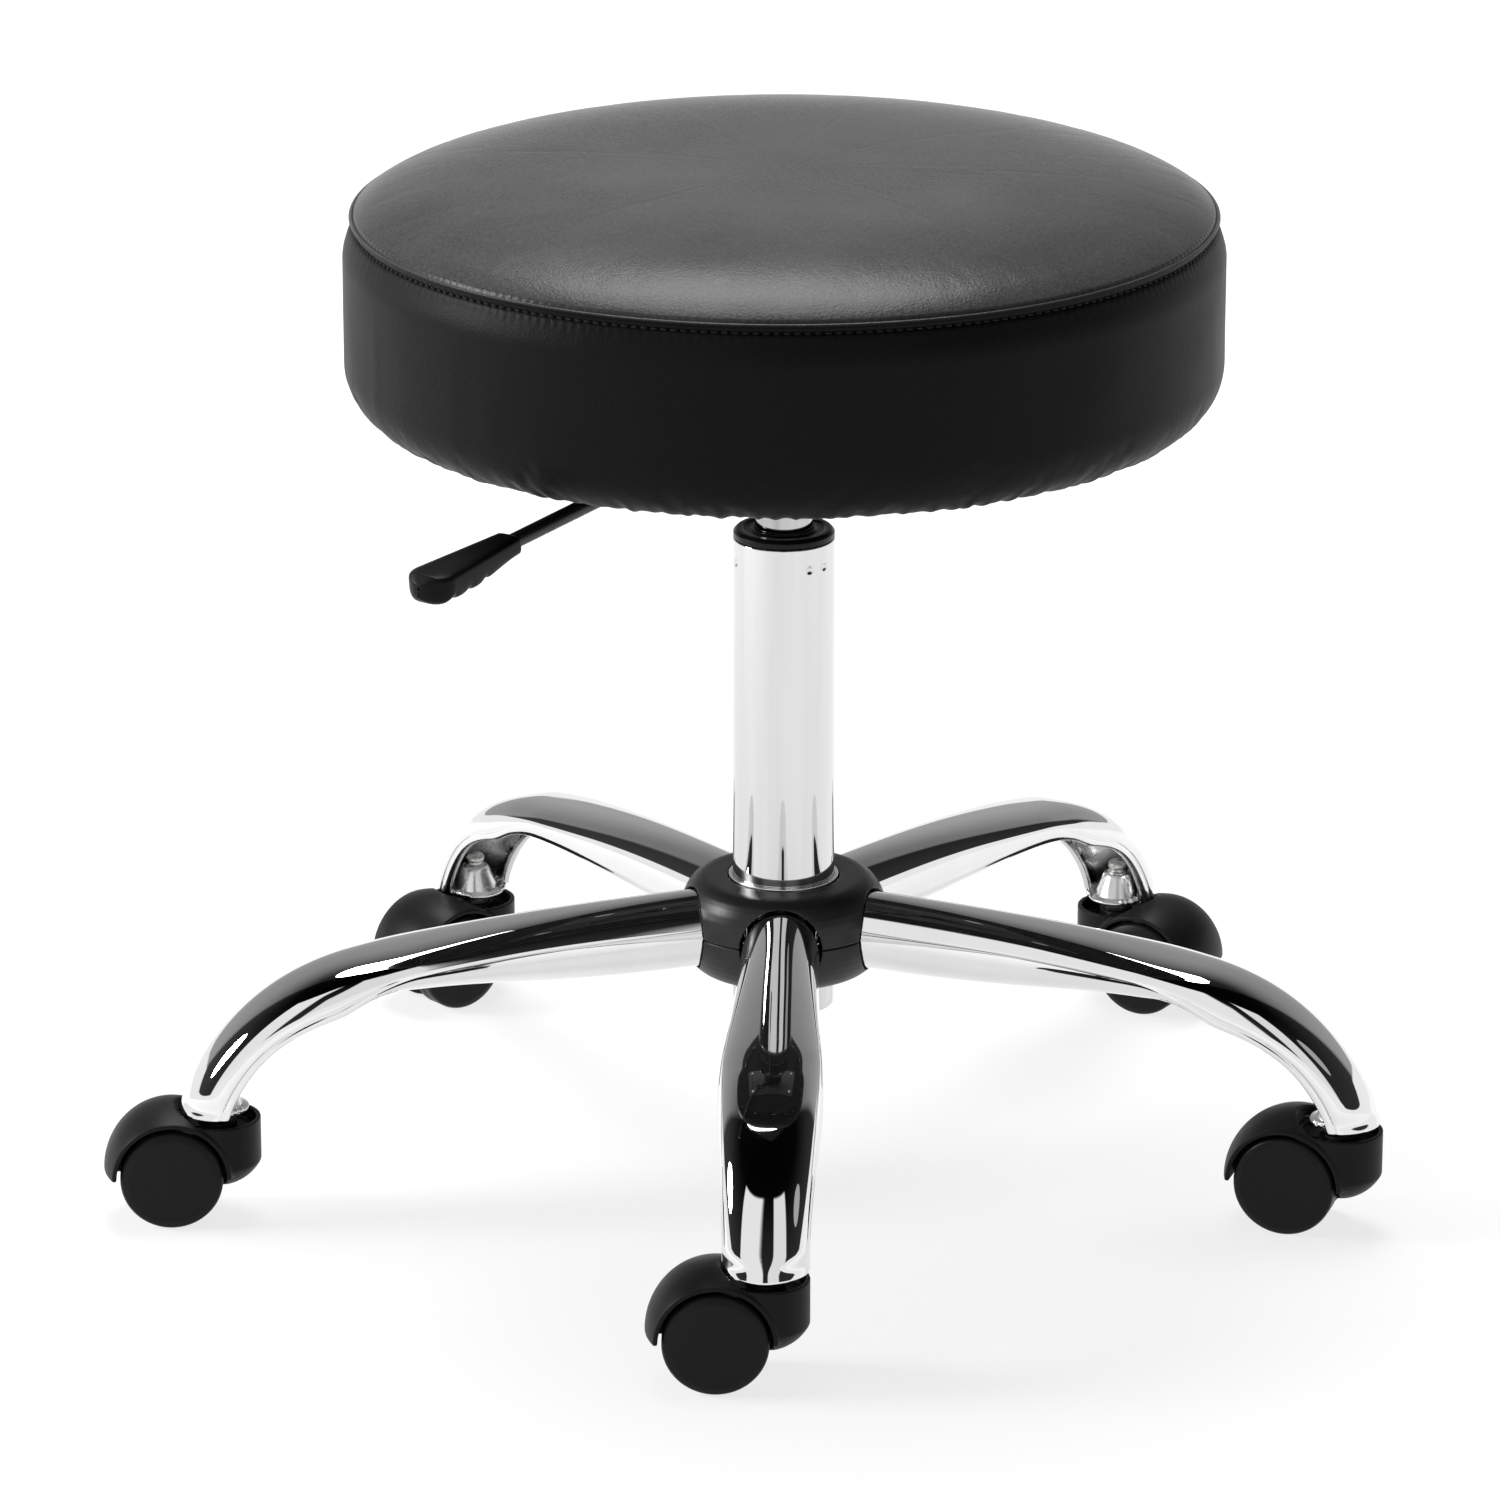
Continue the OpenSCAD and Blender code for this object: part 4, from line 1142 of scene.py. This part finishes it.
@dataclass
class SeatCushion:
    """Round padded seat: a crowned top panel sewn to a side panel that is gathered under the board."""

    seam_r: float = 208.0
    side_r: float = 211.8
    band_r: float = 207.3
    base_r: float = 187.0
    wrap_r: float = 163.0
    seam_h: float = 484.0
    crown_h: float = 22.0
    roll_h: float = 1.9
    roll_w: float = 15.0
    flat_share: float = 0.25
    under_h: float = 386.3
    round_h: float = 27.2
    row_h: float = 479.6
    lip_r: float = 0.95
    cols: int = 1100
    cloth_cols: int = 256
    cloth_steps: int = 20
    cloth_waves: int = 14
    crease_limit: float = 1.5
    stitches: int = 275
    stitch_r: float = 206.75
    stitch_fall: float = 0.05
    stitch_l: float = 3.3
    thread_r: float = 0.42
    stitch_wave: float = 0.14
    stitch_dent: float = 0.22
    puckers: Folds = Folds(0.09, 120, 0.010, 0.020, 5)
    folds: Folds = Folds(0.2, 44, 0.02, 0.05, 7)
    pleats: Folds = Folds(0.95, 150, 0.008, 0.017, 9)

    def crown(self, r: Array) -> Array:
        """Height of the top panel: seam height + crown * (1 - t^4), t running over the outer three
        quarters, and a last roll, roll * (1 - u^2), u running over the outermost few millimetres.

        Args:
            r: Distances from the axis.

        Returns:
            A height for each.
        """
        t = np.clip((r / self.seam_r - self.flat_share) / (1 - self.flat_share), 0, 1)
        u = np.clip((r - self.seam_r) / self.roll_w + 1, 0, 1)
        return self.seam_h + (self.crown_h - self.roll_h) * (1 - t**4) + self.roll_h * (1 - u**2)

    def outline(self, fine: bool) -> tuple[Array, Array]:
        """Section from the middle of the crown to the middle of the underside.

        Args:
            fine: True for the shown mesh with its sewn lip, False for the cloth that is simulated.

        Returns:
            Points (n, 2) of r, z and, for each, the distance along the cover in millimetres.
        """
        seam, row, under, band = self.seam_h, self.row_h, self.under_h, self.band_r
        top_n, side_n, low_n, under_n = (54, 46, 22, 10) if fine else (22, 20, 10, 4)
        top_r = (205.9 if fine else 206.9) * (1 - (1 - np.linspace(0, 1, top_n)) ** 1.45)
        parts = [xyz(top_r, self.crown(top_r))]
        if fine:
            # The crease above the lip, the lip, the pulled-in band below it, and the row of stitches.
            lip = np.radians(np.linspace(150, -95, 14))
            parts += [
                [[206.3, seam + 0.35], [206.55, seam - 0.5]],
                xyz(207.55 + self.lip_r * np.cos(lip), seam - 0.8 + self.lip_r * np.sin(lip)),
                [[207.0, seam - 2.1], [206.95, seam - 2.8], [206.85, row + 0.9], [206.6, row + 0.45],
                 [206.5, row], [206.75, row - 0.5], [band, row - 1.0]],
            ]
        z = np.linspace(row - 1.8 if fine else seam - 3.0, under + self.round_h, side_n)
        a = np.radians(np.linspace(-4, -90, low_n))
        parts += [
            xyz(mix(band, self.side_r, smooth_step((row + 0.6 - z) / 17.0) ** 0.7), z),
            xyz(mix(self.base_r, self.side_r, np.cos(a)), under + self.round_h * (1 + np.sin(a))),
            xyz(np.linspace(self.base_r - 2, self.wrap_r, under_n), under),
            [[self.wrap_r - 0.5, under + 0.6], [self.wrap_r - 0.9, under + 1.15], [0.0, under + 1.15]],
        ]
        points = np.concatenate(parts)
        return points, np.concatenate([[0.0], np.cumsum(np.linalg.norm(np.diff(points, axis=0), axis=1))])

    def blown(self, grid: Array, held_rows: list[int]) -> Array:
        """Blows up a grid of points as cloth with pressure. It is cut 1% too large and held along some
        rows, so it creases faintly, as a tight cover does.

        Args:
            grid: Points (rows, columns, 3) in millimetres.
            held_rows: Rows that stay in place.

        Returns:
            How far each point moved, in the same shape.
        """
        rows, cols = grid.shape[:2]
        mesh = bpy.data.meshes.new("cover_cloth")
        mesh.from_pydata((grid.reshape(-1, 3) * MM).tolist(), [], ring_quads(rows, cols)[:, ::-1].tolist())
        cover = linked("cover_cloth", mesh)
        held = (np.array(held_rows)[:, None] * cols + np.arange(cols)).ravel().tolist()
        cover.vertex_groups.new(name="held").add(held, 1.0, "REPLACE")
        cloth = cover.modifiers.new("cloth", "CLOTH")
        for key, value in {
            "quality": 6, "mass": 0.3, "tension_stiffness": 15.0, "compression_stiffness": 15.0,
            "shear_stiffness": 5.0, "bending_stiffness": 0.25, "use_pressure": True,
            "uniform_pressure_force": 4.0, "shrink_min": -0.01, "vertex_group_mass": "held",
        }.items():
            setattr(cloth.settings, key, value)
        cloth.settings.effector_weights.gravity = 0.0
        cloth.point_cache.frame_start, cloth.point_cache.frame_end = 1, self.cloth_steps
        for number in range(1, self.cloth_steps + 1):
            bpy.context.scene.frame_set(number)
        result = cover.evaluated_get(bpy.context.evaluated_depsgraph_get()).to_mesh()
        moved = read(result.vertices, "co").reshape(grid.shape) / MM - grid
        bpy.context.scene.frame_set(1)
        bpy.data.objects.remove(cover)
        return moved

    def simulated(self) -> tuple[Array, Array]:
        """Creases of a coarse copy of the cover, made uneven by seeded waves before it is blown up.

        Returns:
            How far each simulated point lies out from the mean of its ring, (rows, columns) in
            millimetres, and the distance of each row along the cover.
        """
        outline, along = self.outline(False)
        rng = np.random.default_rng(11)
        a = around(self.cloth_cols)
        count = self.cloth_waves
        waves = rng.integers(3, 26, count)[:, None] * a + rng.uniform(0, TURN, count)[:, None]
        uneven = (np.sin(waves) * rng.uniform(0.1, 0.4, count)[:, None]).sum(0)
        r = outline[:, :1] + 0.35 * uneven * (outline[:, :1] > 20)
        keep = slice(1, len(outline) - 3)
        grid = xyz(r * np.cos(a), r * np.sin(a), outline[:, 1:])[keep]
        outline, rows = outline[keep], len(grid)
        seam = int(np.argmin(np.abs(outline[:, 1] - self.seam_h) + np.abs(outline[:, 0] - self.seam_r)))
        moved = self.blown(grid, [seam, seam + 1, 0, *range(rows - 4, rows)])
        slope = np.gradient(outline, axis=0)
        slope /= np.linalg.norm(slope, axis=1)[:, None]
        radial = moved[..., 0] * np.cos(a) + moved[..., 1] * np.sin(a)
        out = radial * -slope[:, 1:] + moved[..., 2] * slope[:, :1]
        out = np.clip(out - out.mean(1, keepdims=True), -self.crease_limit, self.crease_limit)
        LOG.info("cover cloth: %d points, creases up to %.2f mm", out.size, float(np.abs(out).max()))
        return out, along[keep]

    def creases(self, a: Array, along: Array) -> Array:
        """Creases of the simulated cover on the shown grid, by linear interpolation both ways.

        Args:
            a: Angles of the grid's columns.
            along: Distance of its rows along the cover.

        Returns:
            Array (rows, columns) in millimetres, 0 where the simulation is skipped.
        """
        out, at = self.simulated()
        wide = [np.interp(a, around(self.cloth_cols), row, period=TURN) for row in out]
        columns = [np.interp(along, at, column, left=0.0, right=0.0) for column in np.transpose(wide)]
        return np.stack(columns, -1)

    def surface(self) -> Surface:
        """The whole cover as one closed grid: the outline carried round the axis, then moved along its
        own outward direction by the cloth's creases, the seam's puckers and the gathers of the lower
        edge. Soft waves of the stitch spacing fade 6 mm below the row and above the lip.

        Returns:
            Points and faces.
        """
        outline, along = self.outline(True)
        a = around(self.cols)
        slope = np.gradient(outline, axis=0)
        slope /= np.maximum(np.linalg.norm(slope, axis=1), 1e-9)[:, None]
        r, z = outline[:, :1], outline[:, 1:]
        below_row = self.row_h - z
        on_side = (r > 200) & (z < self.row_h - 1.0)
        on_top = z > self.seam_h + 0.2
        left = 0.25 + 0.75 * smooth_step((-np.cos(a) + 0.1) / 0.9)
        calm = np.where(on_top, 0.10 * smooth_step((204.0 - r) / 12.0), smooth_step(below_row / 12.0) * 0.5)
        push = self.creases(a, along) * calm
        wave = np.cos(self.stitches * a)
        push += self.stitch_wave * wave * on_side * bell(below_row - 1.5, 3.0)
        push -= self.stitch_dent * (0.5 + 0.5 * wave) * on_top * bell(r - 205.9, 1.1)
        for folds, reach in (
            (self.puckers, bell(below_row - 6.0, 7.0)), (self.folds, smooth_step((below_row - 14) / 30)),
        ):
            push += folds.depth * left * (folds.at(a) - 0.5) * on_side * reach
        pleats = self.pleats.depth * (1 - np.clip(self.pleats.at(a), 0, 1))
        lower = smooth_step((self.under_h + 13 - z) / 12) * smooth_step((r - self.wrap_r + 2) / 6)
        push -= pleats * lower * (r > self.wrap_r - 1)
        push *= r > 1.0
        radius = r - push * slope[:, 1:]
        return skin(xyz(radius * np.cos(a), radius * np.sin(a), z + push * slope[:, :1]))

    def stitching(self) -> Surface:
        """The row of stitches. Each is a capsule with six sides, whose line runs round the seat and falls
        a little, out and down, for each step round it.

        Returns:
            Points and faces.
        """
        s = np.array([-1.0, -0.8, 0.0, 0.8, 1.0])[:, None]
        size = np.array([0.02, 0.75, 1.0, 0.75, 0.02])[:, None] * self.thread_r
        phi = around(6)[None]
        level, drop = np.array([1.0, self.stitch_fall]) / math.hypot(1.0, self.stitch_fall)
        along, off = s * self.stitch_l / 2, size * np.sin(phi)
        t, d = along * level - off * drop, along * drop + off * level
        out = -0.35 * self.thread_r * (s**2) + size * np.cos(phi)
        points, quads = skin(xyz(self.stitch_r + out + 0.5 * d, t, self.row_h - 0.87 * d))
        turns = (np.arange(self.stitches) + 0.5) * 360.0 / self.stitches
        return repeated(np.stack([turn_z(points, turn) for turn in turns]), quads)

    def build(self) -> None:
        """Builds the cushion and its stitching."""
        made = piece("seat_cushion", self.surface(), sharp=70)
        dress(made, Finish.VINYL, "seat", "seat_vinyl", "seat_top_cover", "seat_side_cover", "seat_foam")
        dress(piece("seam_stitches", self.stitching()), Finish.THREAD, "seat", "seat_vinyl")


# ---- Lever ----


@dataclass
class Lever:
    """Cranked wire lever and its moulded paddle grip with finger ridges below."""

    turn: float = -127.3
    height: float = 379.0
    tail: float = 8.0
    crank_r: float = 80.0
    crank_slope: float = 4.9
    rod_r: float = 3.0
    crank_soft: float = 6.0
    coat: float = 0.8
    coat_from: float = 56.0
    coat_over: float = 16.0
    grip_r: float = 208.0
    grip_l: float = 68.0
    grip_w: float = 24.0
    grip_t: float = 15.0
    scallop: float = 1.7
    scallop_w: float = 2.7
    scallops_at: tuple[float, ...] = (0.43, 0.62, 0.81)

    def rod(self) -> tuple[Array, Array, list[list[int]]]:
        """A circle of the wire's radius carried along the rod's line, which is level and then falls at the
        crank's slope, with a soft bend. A dipped coat thickens it towards the grip.

        Returns:
            Points along +X, faces and end caps.
        """
        rows, cols = 120, 32
        x = np.linspace(-self.tail, self.grip_r + self.grip_l * 0.5, rows)[:, None]
        fall = np.log1p(np.exp(np.clip((x - self.crank_r) / self.crank_soft, -30, 30)))
        z = self.height - self.crank_soft * math.tan(math.radians(self.crank_slope)) * fall
        coat = self.coat * smooth_step((x - self.coat_from) / self.coat_over)
        size = self.rod_r * np.where(x > -self.tail, 1.0, 0.8) + coat
        phi = around(cols)[None]
        ends = [list(range(cols)), list(range((rows - 1) * cols, rows * cols))]
        return *skin(xyz(x, size * np.cos(phi), z + size * np.sin(phi))), ends

    def grip(self) -> Surface:
        """Paddle: at each place along it the section is a rounded box whose half-width widens straight
        and closes as a half circle, whose top is nearly flat, and whose bottom swells and carries the
        scallops.

        Returns:
            Points in the grip's own frame, x along it, and faces.
        """
        end, long, thick = self.grip_w / 2, self.grip_l, self.grip_t
        x = long * (1 - (1 - np.linspace(0.0, 1.0, 150)[:, None]) ** 1.35)
        straight = mix(self.grip_w * 0.28, end, np.clip(x / (long - end), 0, 1))
        round_end = np.sqrt(np.clip(end**2 - np.clip(x - long + end, 0, end) ** 2, 0, None))
        half = np.where(x < long - end, straight, round_end)
        half = half * np.sqrt(np.clip(x / 1.6, 0.0, 1.0) * 0.35 + 0.65)
        top = thick * np.interp(x, [0, 3, long - 4, long], [0.24, 0.33, 0.37, 0.12])
        low = thick * mix(0.34, 0.64, smooth_step((x - 2) / (long * 0.52)))
        low = low * np.sqrt(np.clip(1 - np.clip((x - long + 10) / 11.5, 0, 1) ** 2.4, 0.0, 1))
        for share in self.scallops_at:
            low = low - self.scallop * bell(x - long * share, self.scallop_w)
        c, s = np.cos(around(72)), np.sin(around(72))
        up = np.where(s > 0, top * np.abs(s) ** 0.5, -low * np.abs(s) ** 0.6)
        points = xyz(x, half * np.sign(c) * np.abs(c) ** 0.56, up)
        start, finish = points[:1] * [1.0, 0.0, 0.0], points[-1:] * [1.0, 0.0, 0.0] + [0.0, 0.0, 0.3]
        return skin(np.concatenate([start, points, finish]))

    def build(self) -> None:
        """Builds rod and grip, and dresses the sleeve."""
        points, quads, caps = self.rod()
        made = piece("lever_rod_coated", (turn_z(points, self.turn), quads), caps)
        dress(made, Finish.BLACK_STEEL, "lever", "black_steel", "lever_rod")
        points, quads = self.grip()
        a = math.radians(self.crank_slope)
        c, s = math.cos(a), math.sin(a)
        tipped = points @ np.array([[c, 0.0, -s], [0.0, 1.0, 0.0], [s, 0.0, c]])
        place = [self.grip_r, 0.0, self.height - (self.grip_r - self.crank_r) * math.tan(a)]
        made = piece("lever_grip_moulded", (turn_z(tipped + place, self.turn), quads), sharp=75)
        dress(made, Finish.GRIP, "lever", "grip_plastic", "lever_grip")
        dress_nodes(Finish.BUSH, "lever_sleeve")


# ---- Casters ----


@dataclass
class Casters:
    """Five twin-wheel casters: moulded hood and cup, axle, and two domed wheels each."""

    arms: Arms
    circle_r: float = 286.6
    trail: float = 23.0
    wheel_r: float = 25.0
    wheel_w: float = 14.0
    web_t: float = 14.0
    dome_h: float = 1.54
    edge_r: float = 3.0
    cap_r: float = 9.2
    cap_groove: float = 0.25
    headings: tuple[float, ...] = (180.0, 162.0, 329.0, 220.0, 184.0)

    def place(self, number: int) -> Place:
        """Where a caster's stem stands."""
        a = math.radians(self.arms.angle(number))
        return self.circle_r * math.cos(a), self.circle_r * math.sin(a), 0.0

    def housing(self) -> Surface:
        """The first caster's housing with softened edges, in triangles.

        Returns:
            Points in the caster's own frame, with its stem on Z and its wheels towards +X, and faces.
        """
        made = softened_copy("housing_pattern", "caster_housing_1", 0.6, 4, 0.34)
        work = bmesh.new()
        work.from_mesh(made.data)
        bmesh.ops.triangulate(work, faces=work.faces)
        work.to_mesh(made.data)
        work.free()
        points, faces = triangles(made.data)
        bpy.data.objects.remove(made)
        return turn_z(points - np.array(self.place(1)), -self.headings[0]), faces

    def wheel(self, side: int) -> Surface:
        """One wheel about the axle: a disc with a bevelled inner edge, a rounded outer edge and a
        domed face in which a shallow ring marks the hub cap.

        Args:
            side: 1 for the wheel towards +Y, -1 for the other.

        Returns:
            Points in the caster's own frame and faces.
        """
        r, w, edge = self.wheel_r, self.wheel_w, self.edge_r
        face = np.linspace(r - edge, 0.0, 26)
        dome = w + self.dome_h * np.sqrt(np.clip(1 - (face / r) ** 2, 0, 1))
        dome -= self.cap_groove * bell(face - self.cap_r, 0.5)
        arc = np.radians(np.linspace(0, 78, 9))
        points, quads = revolve(np.concatenate([
            [[0.0, 0.0], [3.1, 0.0], [r - 1.2, 0.0], [r - 0.4, 0.3], [r, 1.1], [r, w * 0.46],
             [r - 0.12, w * 0.48], [r, w * 0.5]],
            xyz(r - edge + edge * np.cos(arc), w - edge + edge * np.sin(arc)),
            xyz(face[1:], dome[1:]),
        ]), 128, False)
        offset = np.array([self.trail, side * (self.web_t / 2 + 0.6), self.wheel_r])
        return xyz(points[:, 0], side * points[:, 2], points[:, 1]) + offset, quads

    def build(self) -> None:
        """Builds and dresses the five casters."""
        housing = self.housing()
        for number, heading in enumerate(self.headings, 1):
            for name, (points, faces), sharp, finish, body in (
                (f"caster_housing_{number}", housing, 180.0, Finish.CASTER, f"caster_{number}"),
                (f"wheel_left_{number}", self.wheel(1), 40.0, Finish.WHEEL, f"wheel_l_{number}"),
                (f"wheel_right_{number}", self.wheel(-1), 40.0, Finish.WHEEL, f"wheel_r_{number}"),
            ):
                placed = turn_z(points, heading, self.place(number))
                made = piece(f"{name}_moulded", (placed, faces), sharp=sharp)
                dress(made, finish, body, f"{name.split('_')[0]}_plastic", name)
            dress_nodes(Finish.STEEL, f"caster_axle_{number}")


# ---- Studio ----


@dataclass
class Lamp:
    """One soft round lamp that points at the stool."""

    name: str
    place: Place
    size: float
    power: float
    aim: Place = (0.0, 0.0, 0.3)

    def build(self) -> None:
        """Adds the lamp."""
        light = bpy.data.lights.new(self.name, "AREA")
        light.shape, light.size, light.energy = "DISK", self.size, self.power
        aimed(linked(self.name, light), self.place, self.aim)


@dataclass
class Studio:
    """Pale floor, soft lamps, the room that the chrome mirrors, and the camera. The room's stops give
    brightness by bearing, in degrees from the camera's side, or by the sine of the height."""

    distance: float = 3.801
    elevation: float = 18.483
    lens: float = 186.24
    aim: Place = (-0.0165, 0.0, 0.2113)
    ambient: float = 0.2
    floor_lit: float = 0.5
    floor_shaded: float = 0.24
    floor_glow: tuple[float, float] = (0.78, 0.94)
    glow_span: tuple[float, float] = (0.35, 1.3)
    screens: Stops = (
        (-180.0, 0.0), (-48.0, 0.0), (-46.5, 0.95), (-7.4, 0.95), (-6.8, 0.0), (4.4, 0.0), (5.0, 0.86),
        (31.0, 0.86), (33.0, 0.0), (180.0, 0.0),
    )
    screen_top: Stops = ((0.0, 1.0), (0.855, 1.0), (0.865, 0.0), (1.0, 0.0))
    walls: Stops = (
        (-180.0, 0.42), (-131.0, 0.38), (-125.0, 0.06), (-50.0, 0.03), (40.0, 0.03), (128.0, 0.04),
        (134.0, 0.38), (180.0, 0.42),
    )
    fade: Stops = (
        (0.0, 1.0), (0.15, 0.96), (0.45, 0.70), (0.66, 0.44), (0.79, 0.20), (0.88, 0.05), (1.0, 0.03),
    )
    beside: Stops = (
        (-180.0, 0.0), (-140.0, 0.0), (-125.0, 1.0), (-30.0, 1.0), (30.0, 1.0), (125.0, 1.0), (140.0, 0.0),
        (180.0, 0.0),
    )
    edge_rise: float = 0.09
    edge: Stops = ((-1.0, 1.0), (0.085, 1.0), (0.1, 0.0), (1.0, 0.0))
    lamps: tuple[Lamp, ...] = (
        Lamp("lamp_over", (-0.12, 0.72, 2.3), 1.5, 58.0),
        Lamp("lamp_left", (-2.4, -0.1, 1.3), 0.9, 54.0),
        Lamp("lamp_right", (2.3, -1.2, 1.9), 1.0, 1.0),
    )

    def camera(self) -> None:
        """Places the camera at the height of its aim plus what its elevation adds."""
        data = bpy.data.cameras.new("camera")
        data.lens, data.sensor_width = self.lens, 36.0
        e = math.radians(self.elevation)
        made = linked("camera", data)
        aimed(made, (0.0, -self.distance * math.cos(e), self.aim[2] + self.distance * math.sin(e)), self.aim)
        bpy.context.scene.camera = made

    def floor(self) -> None:
        """Lays the floor: matt and pale to light, white to the eye and to mirrors, with the stool's soft
        shadow. Its glow grows over a span of metres from the middle, as the lamps' light falls off."""
        mesh = bpy.data.meshes.new("floor")
        mesh.from_pydata([(-9, -9, 0), (9, -9, 0), (9, 9, 0), (-9, 9, 0)], [], [(0, 1, 2, 3)])
        pad = Nodes(bpy.data.materials.new("floor_white"))
        far = pad.add("VectorMath", {0: pad.add("TexCoord").outputs["Object"]}, operation="LENGTH")
        strength = pad.spread(far.outputs["Value"], *self.floor_glow, *self.glow_span)
        lit, shaded = (pad.add("BsdfDiffuse", {"Color": (level, level, level, 1)})
                       for level in (self.floor_lit, self.floor_shaded))
        glow = pad.add("Emission", {"Strength": strength})
        pad.end("Material", lit, pad.add("AddShader", {0: shaded.outputs[0], 1: glow.outputs[0]}))
        mesh.materials.append(pad.owner)
        linked("floor", mesh)

    def room(self) -> None:
        """Paints the room by direction, for the eye and for mirrors alike: white at the floor's edge, two
        white screens on the camera's side with a gap between them, grey walls that darken as they rise,
        and a dark ceiling. Rays that carry light get one plain level instead."""
        world = bpy.data.worlds.new("room")
        bpy.context.scene.world = world
        pad = Nodes(world)
        split = pad.add("SeparateXYZ", {0: pad.add("TexCoord").outputs["Generated"]}).outputs
        ahead = pad.math("MULTIPLY", split["Y"], -1.0)
        bearing = pad.math("DEGREES", pad.math("ARCTAN2", split["X"], ahead))

        def painted(value: Socket, stops: Stops) -> Socket:
            """Brightness of the room.

            Args:
                value: What the brightness depends on.
                stops: Values, from the least to the greatest, with their brightness.

            Returns:
                The brightness.
            """
            low, high = stops[0][0], stops[-1][0]
            shares = tuple(((at - low) / (high - low), level) for at, level in stops)
            return pad.ramp(pad.spread(value, 0.0, 1.0, low, high), shares)

        walls = pad.math("MULTIPLY", painted(bearing, self.walls), painted(split["Z"], self.fade))
        lit = pad.math("MULTIPLY", painted(bearing, self.screens), painted(split["Z"], self.screen_top))
        raised = pad.math("MULTIPLY", painted(bearing, self.beside), self.edge_rise)
        edge = painted(pad.math("SUBTRACT", split["Z"], raised), self.edge)
        level = pad.math("MAXIMUM", pad.math("MAXIMUM", walls, lit), edge)
        light = pad.add("Background", {"Color": (self.ambient, self.ambient, self.ambient, 1)})
        pad.end("World", light, pad.add("Background", {"Color": level}))

    def build(self) -> None:
        """Builds the studio."""
        self.camera()
        self.floor()
        self.room()
        for lamp in self.lamps:
            lamp.build()
        bpy.context.scene.view_settings.view_transform = "Standard"


def main() -> None:
    """Builds the stool from the floor up, then the studio."""
    logging.basicConfig(level=logging.INFO, format="%(message)s")
    arms = Arms()
    for part in (arms, StemSockets(arms), Hub(), Column(), GasLift(), SeatMount(), SeatCushion(), Lever(),
                 Casters(arms)):
        part.build()
        LOG.info("%s is built", type(part).__name__)
    Studio().build()


if __name__ == "__main__":
    main()
